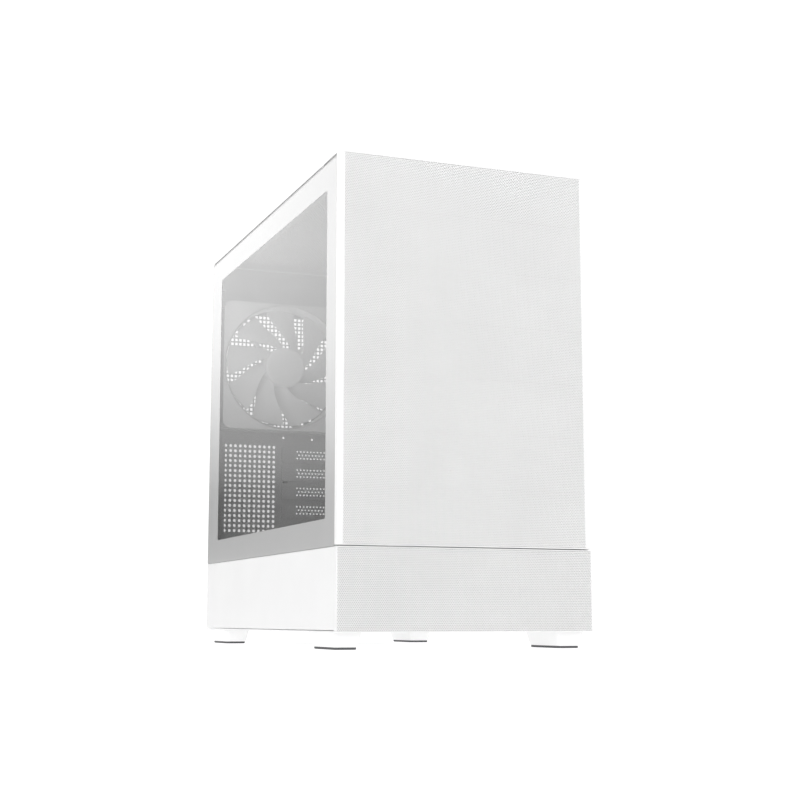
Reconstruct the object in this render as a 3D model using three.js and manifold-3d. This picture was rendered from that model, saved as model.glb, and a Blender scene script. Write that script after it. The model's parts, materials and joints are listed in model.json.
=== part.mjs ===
// A white micro-ATX computer case: a perforated front over a perforated base band, a glass left
// side, four expansion slots, one 140 mm rear fan and an empty interior for a board, a power
// supply and drives. Millimetres, +Z up, front towards -Y, glass towards -X. Inside this file a
// piece is placed from the body's front lower left corner; the outer group moves that corner so
// that the origin is under the middle of the case, where its feet stand.
import * as THREE from "three";
import { mergeVertices } from "three/addons/utils/BufferGeometryUtils.js";
import Module from "manifold-3d";

const wasm = await Module();
wasm.setup();

// Driving dimensions.
const WIDTH = 232; // outside faces of the two side panels, X
const DEPTH = 433; // front skin to the rear edge of the side panels, Y
const HEIGHT = 400; // body without its feet, Z
const FOOT_HEIGHT = 14; // foot and pad together
const KNOB_REACH = 6; // how far the thumbscrews stand behind the side panels
const SHEET = 1.2; // steel sheet
const GAP = 0.4; // clearance between neighbouring pieces
const SKIN_DEPTH = 5; // how far the folded front skins reach back
const SEAM_LOW = 68.9; // top of the base band
const SEAM_HIGH = 70.4; // bottom of the upper front skin
const SIDE_LOW = 69.5; // bottom edge of both side panels
const SIDE_HIGH = 396.2; // top edge of both side panels
const SIDE_FRONT = 5.6; // front edge of both side panels
const SIDE_REAR = DEPTH - GAP; // rear edge of both side panels
const GLASS = 4; // tempered glass
const CHASSIS_LEFT = 6; // left side of the steel chassis
const CHASSIS_RIGHT = WIDTH - CHASSIS_LEFT;
const REAR_WALL = 427; // inner face of the rear wall
const FRONT_WALL = 14; // outer face of the chassis' front wall
const FRONT_FOLD = 30; // rear edge of the front wall's folds
const TRAY = 203; // left face of the motherboard tray
const SHROUD_TOP = 92.6; // top face of the power-supply shroud
const TOP_SHEET = 396.6; // underside of the steel top
const CAP_LOW = 398.1; // underside of the pieces that lie on the steel top

// Window in the glass side's frame.
const WINDOW = { front: 29.6, rear: 391.3, low: 92.7, high: 373 };

// Rear fan, a 140 mm one.
const FAN = { x: 76, z: 284, size: 140, deep: 25, bore: 66.5, hub: 22, tip: 64, blades: 9 };
const FAN_SCREW = { inset: 7.5, radius: 2.2 };
const BLADE = { start: 0.26, sweep: 0.68, width: 0.5, deep: 14, thick: 2, rings: 5, steps: 4 };
const FAN_FRONT = REAR_WALL - GAP - FAN.deep;

// Expansion slots, counted from the top.
const SLOT_PITCH = 20.32;
const SLOT_COUNT = 4;
const SLOT_LOWEST = 129.4;
const SLOT_X = [98, 188];
const SLOT_TALL = 13;

// Input and output aperture of the board, and the mouth of the power-supply bay.
const IO_APERTURE = { x: [148, 193], z: [207, 366] };
const PSU_MOUTH = { x: [42, 184], z: [12, 88] };

// Places of the thumbscrews of the side panels.
const SCREW_X = [11, WIDTH - 11];
const SCREW_Z = { lower: 95, upper: 370 };
const SCREW_HOLE = 2.6;
const CLAMP_SCREW = { x: 84, z: 160 };

// Feet. Each narrows by taper on every side on its way down to its pad.
const FOOT = { x: [1, WIDTH - 28], y: [13, 358], wide: 27, long: 64, taper: 3, pad: 2 };

// Front fan openings in the chassis' front wall.
const FRONT_FAN = { x: 103, z: [172, 316], radius: 66 };
const STUD = { x: [12, WIDTH - 12], z: [92, 380], radius: 2.6, hole: 3.4 };

// Controls and sockets on the top, all on one line.
const IO_Y = 22.8;
const IO_BOARD_TOP = 389.6;
const POWER = { x: 207, radius: 5.8 };
const RESET = { x: 190, radius: 2.8 };
const LED = { x: 197.6, radius: 1.4 };
const USB_A_X = [142, 159];
const USB_C_X = 172;
const AUDIO_X = 181.4;
const BOSS_X = [132.4, 219];
const IO_WELL = { x: [127, 224.6], y: [15.4, 30.4] }; // room for the sockets through the steel

// Drive trays slide on ledges in the cage.
const CAGE = { x: [50, 200], y: [48, 165], z: [3, 89] };
const TRAY_FLOOR = { lower: 9, upper: 51.6 };
const DRIVE_TRAY = { slack: 0.6, floor: 2.5, rail: 4.2, railTall: 15, faceTall: 35 };

// Brackets for flat drives, behind the motherboard tray.
const BRACKET = { y: [58, 136], tall: 84, stand: 2, flange: 9, low: 108, high: 204 };

// Holes of a micro-ATX board, as distances from its rear and top edges.
const BOARD_TOP = 374;
const BOARD_HOLES = { down: [6.35, 163.83, 209.55], forward: [10.16, 165.1, 237.49] };
const STANDOFF = { radius: 2.8, tall: 8 };

// Cut-outs of the motherboard tray, in Y and Z.
const TRAY_HOLES = {
  processor: { y: [275, 395], z: [240, 352] },
  bay: { y: [36, 415], z: [8, 90] },
  cablesLow: { y: [150, 167], z: [120, 196] },
  cablesMiddle: { y: [150, 167], z: [214, 290] },
  cablesHigh: { y: [150, 167], z: [308, 360] },
  cablesTop: { y: [320, 368], z: [373, 387] },
};

// Air slots: the span of a field, the height of one slot and the step to the next.
const INTAKE = { x: [58, 172], y: [272, 398], slot: 6, step: 12 };
const SHROUD_VENT = { x: [40, 140], y: [300, 396], slot: 6, step: 15 };
const TOP_VENT = { x: [[44, 108], [124, 188]], y: [96, 396], slot: 8, step: 24 };
const REAR_VENT = { x: [17, 71], z: [106, 198], slot: 6, step: 12 };
const SHROUD_CABLES = { x: [150, 194], y: [[196, 262], [70, 130]] };
const BASE_VENT = { x: [20, 212], z: [14, 58] };

// Filter under the power supply, and the gate that it passes in the rear wall.
const PSU_FILTER = { x: [38, 194], y: [246, 425], z: [1.7, 4.1], tab: [100, 132] };
const FILTER_GATE = { x: [36, 196], top: 5 };

const paint = (color, roughness, metalness = 0) =>
  new THREE.MeshStandardMaterial({ color, roughness, metalness });
const whiteSteel = () => paint(0xf1f2f3, 0.45, 0.1);
const whitePlastic = () => paint(0xf4f4f5, 0.5);
const darkRubber = () => paint(0x4a4b4e, 0.85);
const greyPlastic = () => paint(0x9a9ca0, 0.6);
const steel = () => paint(0xc3c6ca, 0.35, 0.9);
const clearGlass = () =>
  new THREE.MeshStandardMaterial({
    color: 0xdde4e4, roughness: 0.05, transparent: true, opacity: 0.35,
  });

// Solids.

// Corners are rounded to a thousandth of a millimetre, so that faces meant to be level are level.
const STEPS_PER_MM = 1000;

function toSolid(geometry) {
  const source = geometry.index ? geometry.toNonIndexed() : geometry;
  const rounded = source.attributes.position.array.map(
    (value) => Math.round(value * STEPS_PER_MM) / STEPS_PER_MM,
  );
  const bare = new THREE.BufferGeometry();
  bare.setAttribute("position", new THREE.BufferAttribute(rounded, 3));
  const merged = mergeVertices(bare, 1e-4);
  return new wasm.Manifold(
    new wasm.Mesh({
      numProp: 3,
      vertProperties: new Float32Array(merged.attributes.position.array),
      triVerts: new Uint32Array(merged.index.array),
    }),
  );
}

function toGeometry(solid) {
  const { numProp, vertProperties, triVerts } = solid.getMesh();
  const geometry = new THREE.BufferGeometry();
  const positions = new THREE.InterleavedBuffer(new Float32Array(vertProperties), numProp);
  geometry.setAttribute("position", new THREE.InterleavedBufferAttribute(positions, 3, 0));
  geometry.setIndex([...triVerts]);
  const flat = geometry.toNonIndexed();
  flat.computeVertexNormals();
  return flat;
}

const join = (first, ...others) => others.reduce((sum, other) => sum.add(other), first);
const cut = (first, ...others) => others.reduce((rest, other) => rest.subtract(other), first);

function piece(name, solid, material) {
  const mesh = new THREE.Mesh(toGeometry(solid), material);
  mesh.name = name;
  return mesh;
}

// A block between two corners, each axis given as [low, high].
function block([x0, x1], [y0, y1], [z0, z1]) {
  const geometry = new THREE.BoxGeometry(x1 - x0, y1 - y0, z1 - z0);
  geometry.translate((x0 + x1) / 2, (y0 + y1) / 2, (z0 + z1) / 2);
  return toSolid(geometry);
}

// A round bar along an axis, from low to high; at gives its two other coordinates in X, Y, Z order.
function bar(axis, at, [low, high], radius, sides = 20) {
  const geometry = new THREE.CylinderGeometry(radius, radius, high - low, sides);
  const middle = (low + high) / 2;
  if (axis === "x") geometry.rotateZ(Math.PI / 2).translate(middle, at[0], at[1]);
  if (axis === "y") geometry.translate(at[0], middle, at[1]);
  if (axis === "z") geometry.rotateX(Math.PI / 2).translate(at[0], at[1], middle);
  return toSolid(geometry);
}

// Outlines, drawn in a sheet's own two axes.

function rectangle([a0, a1], [b0, b1], corner = 0) {
  const outline = new THREE.Shape();
  if (corner === 0) {
    outline.moveTo(a0, b0).lineTo(a1, b0).lineTo(a1, b1).lineTo(a0, b1).closePath();
    return outline;
  }
  outline.moveTo(a0 + corner, b0).lineTo(a1 - corner, b0);
  outline.absarc(a1 - corner, b0 + corner, corner, -Math.PI / 2, 0);
  outline.lineTo(a1, b1 - corner).absarc(a1 - corner, b1 - corner, corner, 0, Math.PI / 2);
  outline.lineTo(a0 + corner, b1).absarc(a0 + corner, b1 - corner, corner, Math.PI / 2, Math.PI);
  outline.lineTo(a0, b0 + corner).absarc(a0 + corner, b0 + corner, corner, Math.PI, Math.PI * 1.5);
  return outline;
}

function disc(a, b, radius) {
  return new THREE.Shape().absarc(a, b, radius, 0, 2 * Math.PI);
}

// An outline in two axes, in X, Y, Z order, extruded along the third from low to high.
function prism(axis, [low, high], outline, curveSegments) {
  const geometry = new THREE.ExtrudeGeometry(outline, {
    depth: high - low, bevelEnabled: false, curveSegments,
  });
  if (axis === "x") {
    const turn = new THREE.Matrix4().makeBasis(
      new THREE.Vector3(0, 1, 0), new THREE.Vector3(0, 0, 1), new THREE.Vector3(1, 0, 0),
    );
    geometry.applyMatrix4(turn).translate(low, 0, 0);
  }
  if (axis === "y") geometry.rotateX(Math.PI / 2).translate(0, high, 0);
  if (axis === "z") geometry.translate(0, 0, low);
  return toSolid(geometry);
}

// A sheet across one axis, with openings cut through it.
function sheet(axis, [low, high], outline, openings = [], curveSegments = 6) {
  const cutters = openings.map((shape) => prism(axis, [low - 1, high + 1], shape, curveSegments));
  return cut(prism(axis, [low, high], outline, curveSegments), ...cutters);
}

// Slots side by side along the first axis of a sheet.
function slotRow([a0, a1], b, wide, pitch) {
  const count = Math.floor((a1 - a0 - wide) / pitch) + 1;
  return Array.from({ length: count }, (_, i) => rectangle([a0 + i * pitch, a0 + i * pitch + wide], b));
}

// Slots one above the other along the second axis of a sheet.
function slotStack(a, [b0, b1], tall, pitch) {
  const count = Math.floor((b1 - b0 - tall) / pitch) + 1;
  return Array.from({ length: count }, (_, i) => rectangle(a, [b0 + i * pitch, b0 + i * pitch + tall]));
}

// Base: floor, two side bands, front skin, feet.

function baseFloor() {
  const intake = slotStack(INTAKE.x, INTAKE.y, INTAKE.slot, INTAKE.step);
  const outline = rectangle([0, WIDTH], [SKIN_DEPTH + GAP, DEPTH - 1]);
  return piece("base_floor", sheet("z", [0, SHEET], outline, intake), whiteSteel());
}

// A band along the base with its top edge folded inwards.
function baseBand(name, outside, inwards) {
  const wall = 1.6;
  const fold = 5.5;
  const across = (reach) => [outside, outside + inwards * reach].sort((a, b) => a - b);
  const along = [SIDE_FRONT, SIDE_REAR];
  const upright = block(across(wall), along, [SHEET + 0.5, SEAM_LOW]);
  const ledge = block(across(fold), along, [SEAM_LOW - SHEET, SEAM_LOW]);
  return piece(name, join(upright, ledge), whiteSteel());
}

// A front skin: a sheet whose four edges are folded back.
function frontSkin(name, [low, high]) {
  const wall = 1;
  const outer = block([0, WIDTH], [0, SKIN_DEPTH], [low, high]);
  const inner = block([wall, WIDTH - wall], [wall, SKIN_DEPTH + 1], [low + wall, high - wall]);
  return piece(name, cut(outer, inner), whiteSteel());
}

// A foot narrows towards its pad.
function foot(name, x, y) {
  const corner = 5;
  const low = FOOT.pad - FOOT_HEIGHT + GAP;
  const [halfWide, halfLong] = [FOOT.wide / 2, FOOT.long / 2];
  const outline = rectangle([-halfWide, halfWide], [-halfLong, halfLong], corner);
  const form = new THREE.ExtrudeGeometry(outline, {
    depth: -GAP - low, bevelEnabled: false, curveSegments: 3,
  });
  const { position } = form.attributes;
  for (let i = 0; i < position.count; i += 1) {
    if (position.getZ(i) > 0) continue;
    position.setX(i, position.getX(i) * (1 - FOOT.taper / halfWide));
    position.setY(i, position.getY(i) * (1 - FOOT.taper / halfLong));
  }
  form.translate(x + halfWide, y + halfLong, low);
  return piece(name, toSolid(form), whitePlastic());
}

function footPad(name, x, y) {
  const inset = FOOT.taper + 1;
  const corner = 2;
  const across = [x + inset, x + FOOT.wide - inset];
  const outline = rectangle(across, [y + inset, y + FOOT.long - inset], corner);
  return piece(name, sheet("z", [-FOOT_HEIGHT, FOOT.pad - FOOT_HEIGHT], outline, [], 3), darkRubber());
}

function feet() {
  const group = new THREE.Group();
  ["left", "right"].forEach((side, i) => {
    ["front", "rear"].forEach((end, j) => {
      group.add(foot(`foot_${end}_${side}`, FOOT.x[i], FOOT.y[j]));
      group.add(footPad(`foot_pad_${end}_${side}`, FOOT.x[i], FOOT.y[j]));
    });
  });
  return group;
}

// The filter under the power supply: framed mesh, solid here, with a pull tab at the rear.
function psuFilter() {
  const { x, y, z } = PSU_FILTER;
  const panel = sheet("z", z, rectangle(x, y, 3), [], 2);
  const tab = block(PSU_FILTER.tab, [y[1] - 1, SIDE_REAR], z);
  return piece("psu_filter", join(panel, tab), greyPlastic());
}

// Chassis.

function frontFrame() {
  const across = [CHASSIS_LEFT, CHASSIS_RIGHT];
  const up = [SHEET + GAP, SIDE_HIGH - GAP];
  const holes = FRONT_FAN.z.map((z) => disc(FRONT_FAN.x, z, FRONT_FAN.radius));
  holes.push(rectangle(BASE_VENT.x, BASE_VENT.z));
  STUD.x.forEach((x) => STUD.z.forEach((z) => holes.push(disc(x, z, STUD.hole))));
  const wall = sheet("y", [FRONT_WALL, FRONT_WALL + SHEET], rectangle(across, up), holes, 7);
  const fold = [FRONT_WALL, FRONT_FOLD];
  const left = block([across[0], across[0] + SHEET], fold, up);
  const right = block([across[1] - SHEET, across[1]], fold, up);
  const top = block(across, fold, [up[1] - SHEET, up[1]]);
  const well = block(IO_WELL.x, [IO_WELL.y[0], FRONT_FOLD + 1], [up[1] - 2, up[1] + 1]);
  return piece("front_frame", join(wall, left, right, cut(top, well)), whiteSteel());
}

// Round grille behind the fan: upright slots whose lengths follow a circle.
function grilleSlots() {
  const pitch = 11;
  const wide = 6;
  const radius = 65;
  const slots = [];
  for (let i = -5; i <= 5; i += 1) {
    const offset = Math.abs(i * pitch) + wide / 2;
    const half = Math.sqrt(radius * radius - offset * offset);
    const across = [FAN.x + i * pitch - wide / 2, FAN.x + i * pitch + wide / 2];
    slots.push(rectangle(across, [FAN.z - half, FAN.z + half]));
  }
  return slots;
}

const slotHeight = (i) => SLOT_LOWEST + SLOT_PITCH * (SLOT_COUNT - 1 - i);

function rearWall() {
  const outline = new THREE.Shape();
  const [left, right] = [CHASSIS_LEFT - 0.2, CHASSIS_RIGHT + 0.2];
  const low = SHEET + GAP;
  outline.moveTo(left, low).lineTo(FILTER_GATE.x[0], low);
  outline.lineTo(FILTER_GATE.x[0], FILTER_GATE.top).lineTo(FILTER_GATE.x[1], FILTER_GATE.top);
  outline.lineTo(FILTER_GATE.x[1], low).lineTo(right, low);
  outline.lineTo(right, SIDE_HIGH).lineTo(left, SIDE_HIGH).closePath();
  const holes = grilleSlots();
  holes.push(rectangle(IO_APERTURE.x, IO_APERTURE.z));
  holes.push(rectangle(PSU_MOUTH.x, PSU_MOUTH.z));
  holes.push(...slotRow(REAR_VENT.x, REAR_VENT.z, REAR_VENT.slot, REAR_VENT.step));
  for (let i = 0; i < SLOT_COUNT; i += 1) {
    const z = slotHeight(i);
    holes.push(rectangle(SLOT_X, [z - SLOT_TALL / 2, z + SLOT_TALL / 2]));
  }
  SCREW_X.forEach((x) =>
    Object.values(SCREW_Z).forEach((z) => holes.push(disc(x, z, SCREW_HOLE))),
  );
  holes.push(disc(CLAMP_SCREW.x, CLAMP_SCREW.z, SCREW_HOLE));
  const wall = sheet("y", [REAR_WALL, REAR_WALL + SHEET], outline, holes, 3);
  return piece("rear_wall", wall, whiteSteel());
}

function slotCover(i) {
  const z = slotHeight(i);
  const thick = 1;
  const rear = REAR_WALL - GAP;
  const outline = rectangle([80, 198], [z - 9, z + 9], 2);
  return piece(`slot_cover_${i + 1}`, sheet("y", [rear - thick, rear], outline, [], 2), whiteSteel());
}

function slotClamp() {
  const front = REAR_WALL + SHEET + GAP;
  const up = [117, 203];
  const hole = disc(CLAMP_SCREW.x, CLAMP_SCREW.z, SCREW_HOLE);
  const plate = sheet("y", [front, front + SHEET], rectangle([76, 92], up), [hole], 4);
  const lip = block([76, 76 + SHEET], [front, front + 6], up);
  return piece("slot_clamp", join(plate, lip), whiteSteel());
}

// A thumbscrew: knob with a driver slot behind, shank towards the front.
function thumbScrew(name, { x, z }, knobFrom, knobTo, shankTip, radius) {
  const knob = bar("y", [x, z], [knobFrom, knobTo], radius, 20);
  const shank = bar("y", [x, z], [shankTip, knobFrom + 1], 2, 12);
  const slot = block([x - radius - 1, x + radius + 1], [knobTo - 1.2, knobTo + 1], [z - 0.6, z + 0.6]);
  return piece(name, cut(join(knob, shank), slot), steel());
}

function motherboardTray() {
  const along = [FRONT_FOLD + 1, REAR_WALL - 0.6];
  const up = [SHEET + GAP, SIDE_HIGH - GAP];
  const holes = Object.values(TRAY_HOLES).map(({ y, z }) => rectangle(y, z, 5));
  const plate = sheet("x", [TRAY, TRAY + SHEET], rectangle(along, up), holes, 3);
  const standoffs = [];
  BOARD_HOLES.down.forEach((down, i) =>
    BOARD_HOLES.forward.forEach((forward, j) => {
      if (i === 0 && j === 2) return; // the board has no hole at this corner
      const at = [REAR_WALL - forward, BOARD_TOP - down];
      standoffs.push(bar("x", at, [TRAY - STANDOFF.tall, TRAY + SHEET / 2], STANDOFF.radius, 6));
    }),
  );
  return piece("motherboard_tray", join(plate, ...standoffs), whiteSteel());
}

function psuShroud() {
  const across = [CHASSIS_LEFT + 1, TRAY - GAP];
  const along = [FRONT_FOLD + 1, REAR_WALL - 0.6];
  const holes = slotStack(SHROUD_VENT.x, SHROUD_VENT.y, SHROUD_VENT.slot, SHROUD_VENT.step);
  SHROUD_CABLES.y.forEach((span) => holes.push(rectangle(SHROUD_CABLES.x, span, 6)));
  const top = sheet("z", [SHROUD_TOP - SHEET, SHROUD_TOP], rectangle(across, along), holes, 3);
  const side = block([across[0], across[0] + SHEET], along, [SHEET + GAP, SHROUD_TOP]);
  return piece("psu_shroud", join(top, side), whiteSteel());
}

function driveCage() {
  const outer = block(CAGE.x, CAGE.y, CAGE.z);
  const inside = (range) => [range[0] + SHEET, range[1] - SHEET];
  const inner = block([CAGE.x[0] - 1, CAGE.x[1] + 1], inside(CAGE.y), inside(CAGE.z));
  const ledges = Object.values(TRAY_FLOOR).flatMap((z) => {
    const up = [z - GAP - SHEET, z - GAP];
    return [
      block(CAGE.x, [CAGE.y[0] + 1, CAGE.y[0] + 5], up),
      block(CAGE.x, [CAGE.y[1] - 5, CAGE.y[1] - 1], up),
    ];
  });
  return piece("drive_cage", join(cut(outer, inner), ...ledges), whiteSteel());
}

function driveTray(name, z) {
  const { slack, rail, railTall, faceTall } = DRIVE_TRAY;
  const side = [CAGE.y[0] + SHEET + slack, CAGE.y[1] - SHEET - slack];
  const along = [CAGE.x[0] + 1, CAGE.x[1] + 1];
  const floor = block(along, side, [z, z + DRIVE_TRAY.floor]);
  const near = block(along, [side[0], side[0] + rail], [z, z + railTall]);
  const far = block(along, [side[1] - rail, side[1]], [z, z + railTall]);
  const face = block([along[1] - 2, along[1] + 1], side, [z, z + faceTall]);
  const grip = block([along[1] - 3, along[1] + 2], [90, 123], [z + 22, z + 30]);
  return piece(name, cut(join(floor, near, far, face), grip), greyPlastic());
}

function ssdBracket(name, z) {
  const back = TRAY + SHEET;
  const { y, tall, stand, flange } = BRACKET;
  const plate = block([back + stand, back + stand + SHEET], y, [z, z + tall]);
  const lower = block([back + stand, back + flange], y, [z, z + SHEET]);
  const upper = block([back + stand, back + flange], y, [z + tall - SHEET, z + tall]);
  const spacer = (at) => bar("x", at, [back + GAP, back + stand + SHEET / 2], 3, 8);
  const spacers = [spacer([y[0] + 8, z + 20]), spacer([y[1] - 8, z + tall - 20])];
  return piece(name, join(plate, lower, upper, ...spacers), whiteSteel());
}

// Rear fan.

function fanFrame() {
  const half = FAN.size / 2;
  const corner = 8;
  const across = [FAN.x - half, FAN.x + half];
  const up = [FAN.z - half, FAN.z + half];
  const rear = FAN_FRONT + FAN.deep;
  const holes = [disc(FAN.x, FAN.z, FAN.bore)];
  const reach = half - FAN_SCREW.inset;
  [-reach, reach].forEach((right) =>
    [-reach, reach].forEach((high) => {
      holes.push(disc(FAN.x + right, FAN.z + high, FAN_SCREW.radius));
    }),
  );
  const housing = sheet("y", [FAN_FRONT, rear], rectangle(across, up, corner), holes, 10);
  const motorSeat = bar("y", [FAN.x, FAN.z], [rear - 3, rear], FAN.hub + 1, 20);
  const arms = [45, 135, 225, 315].map((degrees) => {
    const arm = new THREE.BoxGeometry(FAN.bore - FAN.hub + 2, 3, 4);
    arm.translate((FAN.bore + FAN.hub) / 2, rear - 1.5, 0);
    const turn = new THREE.Matrix4().makeRotationY((degrees * Math.PI) / 180);
    const place = new THREE.Matrix4().makeTranslation(FAN.x, 0, FAN.z);
    return toSolid(arm.applyMatrix4(turn).applyMatrix4(place));
  });
  return piece("fan_frame", join(housing, motorSeat, ...arms), whitePlastic());
}

// One blade: a skin round its section at each radius, swept round and pitched.
function fanBlade(angle) {
  const { sweep, width, deep, thick, rings, steps } = BLADE;
  const [inner, outer] = [FAN.hub - 3, FAN.tip + 2];
  const around = 2 * (steps + 1);
  const points = [];
  for (let i = 0; i <= rings; i += 1) {
    const out = i / rings;
    const radius = inner + (outer - inner) * out;
    const turned = angle + sweep * (1 - (1 - out) ** 2);
    for (let k = 0; k < around; k += 1) {
      const front = k <= steps;
      const across = (front ? k : around - 1 - k) / steps - 0.5;
      const turn = turned + across * width;
      const depth = FAN_FRONT + 11 - across * deep + (front ? -thick : thick) / 2;
      points.push(FAN.x + radius * Math.cos(turn), depth, FAN.z + radius * Math.sin(turn));
    }
  }
  const quads = [];
  for (let i = 0; i < rings; i += 1) {
    for (let k = 0; k < around; k += 1) {
      const [here, next] = [i * around + k, i * around + ((k + 1) % around)];
      quads.push([here, here + around, next + around, next]);
    }
  }
  const last = rings * around;
  for (let k = 0; k < steps; k += 1) {
    const back = around - 1 - k;
    quads.push([k, k + 1, back - 1, back]);
    quads.push([last + back, last + back - 1, last + k + 1, last + k]);
  }
  const blade = new THREE.BufferGeometry();
  blade.setAttribute("position", new THREE.Float32BufferAttribute(points, 3));
  blade.setIndex(quads.flatMap(([a, b, c, d]) => [a, b, c, a, c, d]));
  return toSolid(blade);
}

function fanRotor() {
  const hub = bar("y", [FAN.x, FAN.z], [FAN_FRONT + 1, FAN_FRONT + 21], FAN.hub, 24);
  const step = (2 * Math.PI) / FAN.blades;
  const blades = Array.from({ length: FAN.blades }, (_, i) => fanBlade(BLADE.start + i * step));
  const keep = bar("y", [FAN.x, FAN.z], [FAN_FRONT + 1, FAN_FRONT + 21], FAN.tip, 48);
  return piece("fan_rotor", join(hub, ...blades).intersect(keep), whitePlastic());
}

// Top.

function topPanel() {
  const vents = TOP_VENT.x.flatMap((across) =>
    slotStack(across, TOP_VENT.y, TOP_VENT.slot, TOP_VENT.step),
  );
  vents.push(rectangle(IO_WELL.x, IO_WELL.y));
  const outline = rectangle([2, WIDTH - 2], [SIDE_FRONT, SIDE_REAR]);
  const plate = sheet("z", [TOP_SHEET, TOP_SHEET + SHEET], outline, vents);
  const flange = (x) => block([x, x + SHEET], [32, REAR_WALL - 2], [384, TOP_SHEET + 0.5]);
  const left = flange(CHASSIS_LEFT + 0.2);
  const right = flange(CHASSIS_RIGHT - 0.2 - SHEET);
  return piece("top_panel", join(plate, left, right), whiteSteel());
}

function topFilter() {
  const outline = rectangle([0.8, WIDTH - 0.8], [44.8, SIDE_REAR], 4);
  return piece("top_filter", sheet("z", [CAP_LOW, HEIGHT], outline, [], 3), greyPlastic());
}

// The rectangle round a socket at x, of the given half sizes and grown by a margin.
const around = (x, [halfX, halfY], grow) => [
  [x - halfX - grow, x + halfX + grow],
  [IO_Y - halfY - grow, IO_Y + halfY + grow],
];
const USB_A_HALF = [6.6, 2.9];
const USB_C_HALF = [4.5, 1.7];
const JACK_RADIUS = 3.9;

function ioBezel() {
  const holes = USB_A_X.map((x) => rectangle(...around(x, USB_A_HALF, GAP)));
  holes.push(rectangle(...around(USB_C_X, USB_C_HALF, GAP)));
  holes.push(disc(AUDIO_X, IO_Y, JACK_RADIUS + GAP));
  [POWER, RESET, LED].forEach(({ x, radius }) => holes.push(disc(x, IO_Y, radius + GAP)));
  const outline = rectangle([0.8, WIDTH - 0.8], [SIDE_FRONT, 44.2]);
  const strip = sheet("z", [CAP_LOW, HEIGHT], outline, holes, 5);
  const bosses = BOSS_X.map((x) => bar("z", [x, IO_Y], [IO_BOARD_TOP + GAP, CAP_LOW + 0.5], 2, 10));
  return piece("io_bezel", join(strip, ...bosses), greyPlastic());
}

function ioBoard() {
  const outline = rectangle([130, 222], [IO_Y - 7, IO_Y + 7], 2);
  const plate = sheet("z", [IO_BOARD_TOP - 1.6, IO_BOARD_TOP], outline, [], 2);
  return piece("io_board", plate, paint(0x1f6b45, 0.6));
}

// A socket shell that opens upwards, with its contact tongue.
function socket(name, outer, wall, tongue) {
  const up = [IO_BOARD_TOP + GAP, HEIGHT - 0.2];
  const shell = block(...outer, up);
  const shrink = ([low, high]) => [low + wall, high - wall];
  const cavity = block(shrink(outer[0]), shrink(outer[1]), [up[0] + 1, up[1] + 1]);
  const blade = block(...tongue, [up[0], up[1] - 1]);
  return piece(name, join(cut(shell, cavity), blade), steel());
}

function audioJack() {
  const barrel = bar("z", [AUDIO_X, IO_Y], [IO_BOARD_TOP + GAP, HEIGHT - 0.2], JACK_RADIUS, 20);
  const hole = bar("z", [AUDIO_X, IO_Y], [IO_BOARD_TOP + 2, HEIGHT + 1], 1.8, 12);
  return piece("audio_jack", cut(barrel, hole), paint(0x2b2c2f, 0.5));
}

// A round push button with a collar that keeps it under the bezel.
function pushButton(name, { x, radius }, sides) {
  const low = 394;
  const cap = bar("z", [x, IO_Y], [low, HEIGHT], radius, sides);
  const collar = bar("z", [x, IO_Y], [low, low + 1.6], radius + 1.2, sides);
  return piece(name, join(cap, collar), whitePlastic());
}

function powerLed() {
  const pipe = bar("z", [LED.x, IO_Y], [IO_BOARD_TOP + GAP, HEIGHT - 0.2], LED.radius, 12);
  return piece("power_led", pipe, paint(0xe9eef2, 0.3));
}

function topControls() {
  const group = new THREE.Group();
  USB_A_X.forEach((x, i) => {
    const tongue = [[x - 5, x + 5], [IO_Y - 1.8, IO_Y - 0.2]];
    group.add(socket(`usb_a_port_${i + 1}`, around(x, USB_A_HALF, 0), 0.5, tongue));
  });
  const tongue = [[USB_C_X - 3.2, USB_C_X + 3.2], [IO_Y - 0.4, IO_Y + 0.4]];
  group.add(socket("usb_c_port", around(USB_C_X, USB_C_HALF, 0), 0.4, tongue));
  group.add(ioBezel(), ioBoard(), audioJack(), powerLed());
  group.add(pushButton("power_button", POWER, 28), pushButton("reset_button", RESET, 16));
  return group;
}

// Front panel: the upper skin on a plastic frame with four snap studs.
function frontPanelFrame() {
  const across = [CHASSIS_LEFT, CHASSIS_RIGHT];
  const up = [74, 394];
  const rim = 12;
  const middle = (up[0] + up[1]) / 2;
  const inside = [across[0] + rim, across[1] - rim];
  const holes = [
    rectangle(inside, [up[0] + rim, middle - 4]),
    rectangle(inside, [middle + 4, up[1] - rim]),
  ];
  const ring = sheet("y", [1.4, 11], rectangle(across, up), holes);
  const studs = STUD.x.flatMap((x) => STUD.z.map((z) => bar("y", [x, z], [10, 19], STUD.radius, 12)));
  return piece("front_panel_frame", join(ring, ...studs), whitePlastic());
}

// Side panels.

function glassPanel() {
  const outline = rectangle([SIDE_FRONT, SIDE_REAR], [SIDE_LOW, SIDE_HIGH]);
  return piece("glass_panel", sheet("x", [0, GLASS], outline), clearGlass());
}

// Steel frame behind the glass; its rear edge folds inwards and takes the thumbscrews.
function glassFrame() {
  const [low, high] = [SIDE_LOW + 1.5, SIDE_HIGH - 1.2];
  const hole = rectangle([WINDOW.front, WINDOW.rear], [WINDOW.low, WINDOW.high], 3);
  const front = SIDE_FRONT + 1.4;
  const across = [GLASS + 0.3, GLASS + 1.3];
  const ring = sheet("x", across, rectangle([front, SIDE_REAR], [low, high]), [hole], 3);
  const screwHoles = Object.values(SCREW_Z).map((z) => disc(SCREW_X[0], z, SCREW_HOLE));
  const flangeAt = [SIDE_REAR - SHEET, SIDE_REAR];
  const flange = sheet("y", flangeAt, rectangle([GLASS + 0.3, 17], [low, high]), screwHoles, 4);
  return piece("glass_frame", join(ring, flange), whiteSteel());
}

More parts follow.
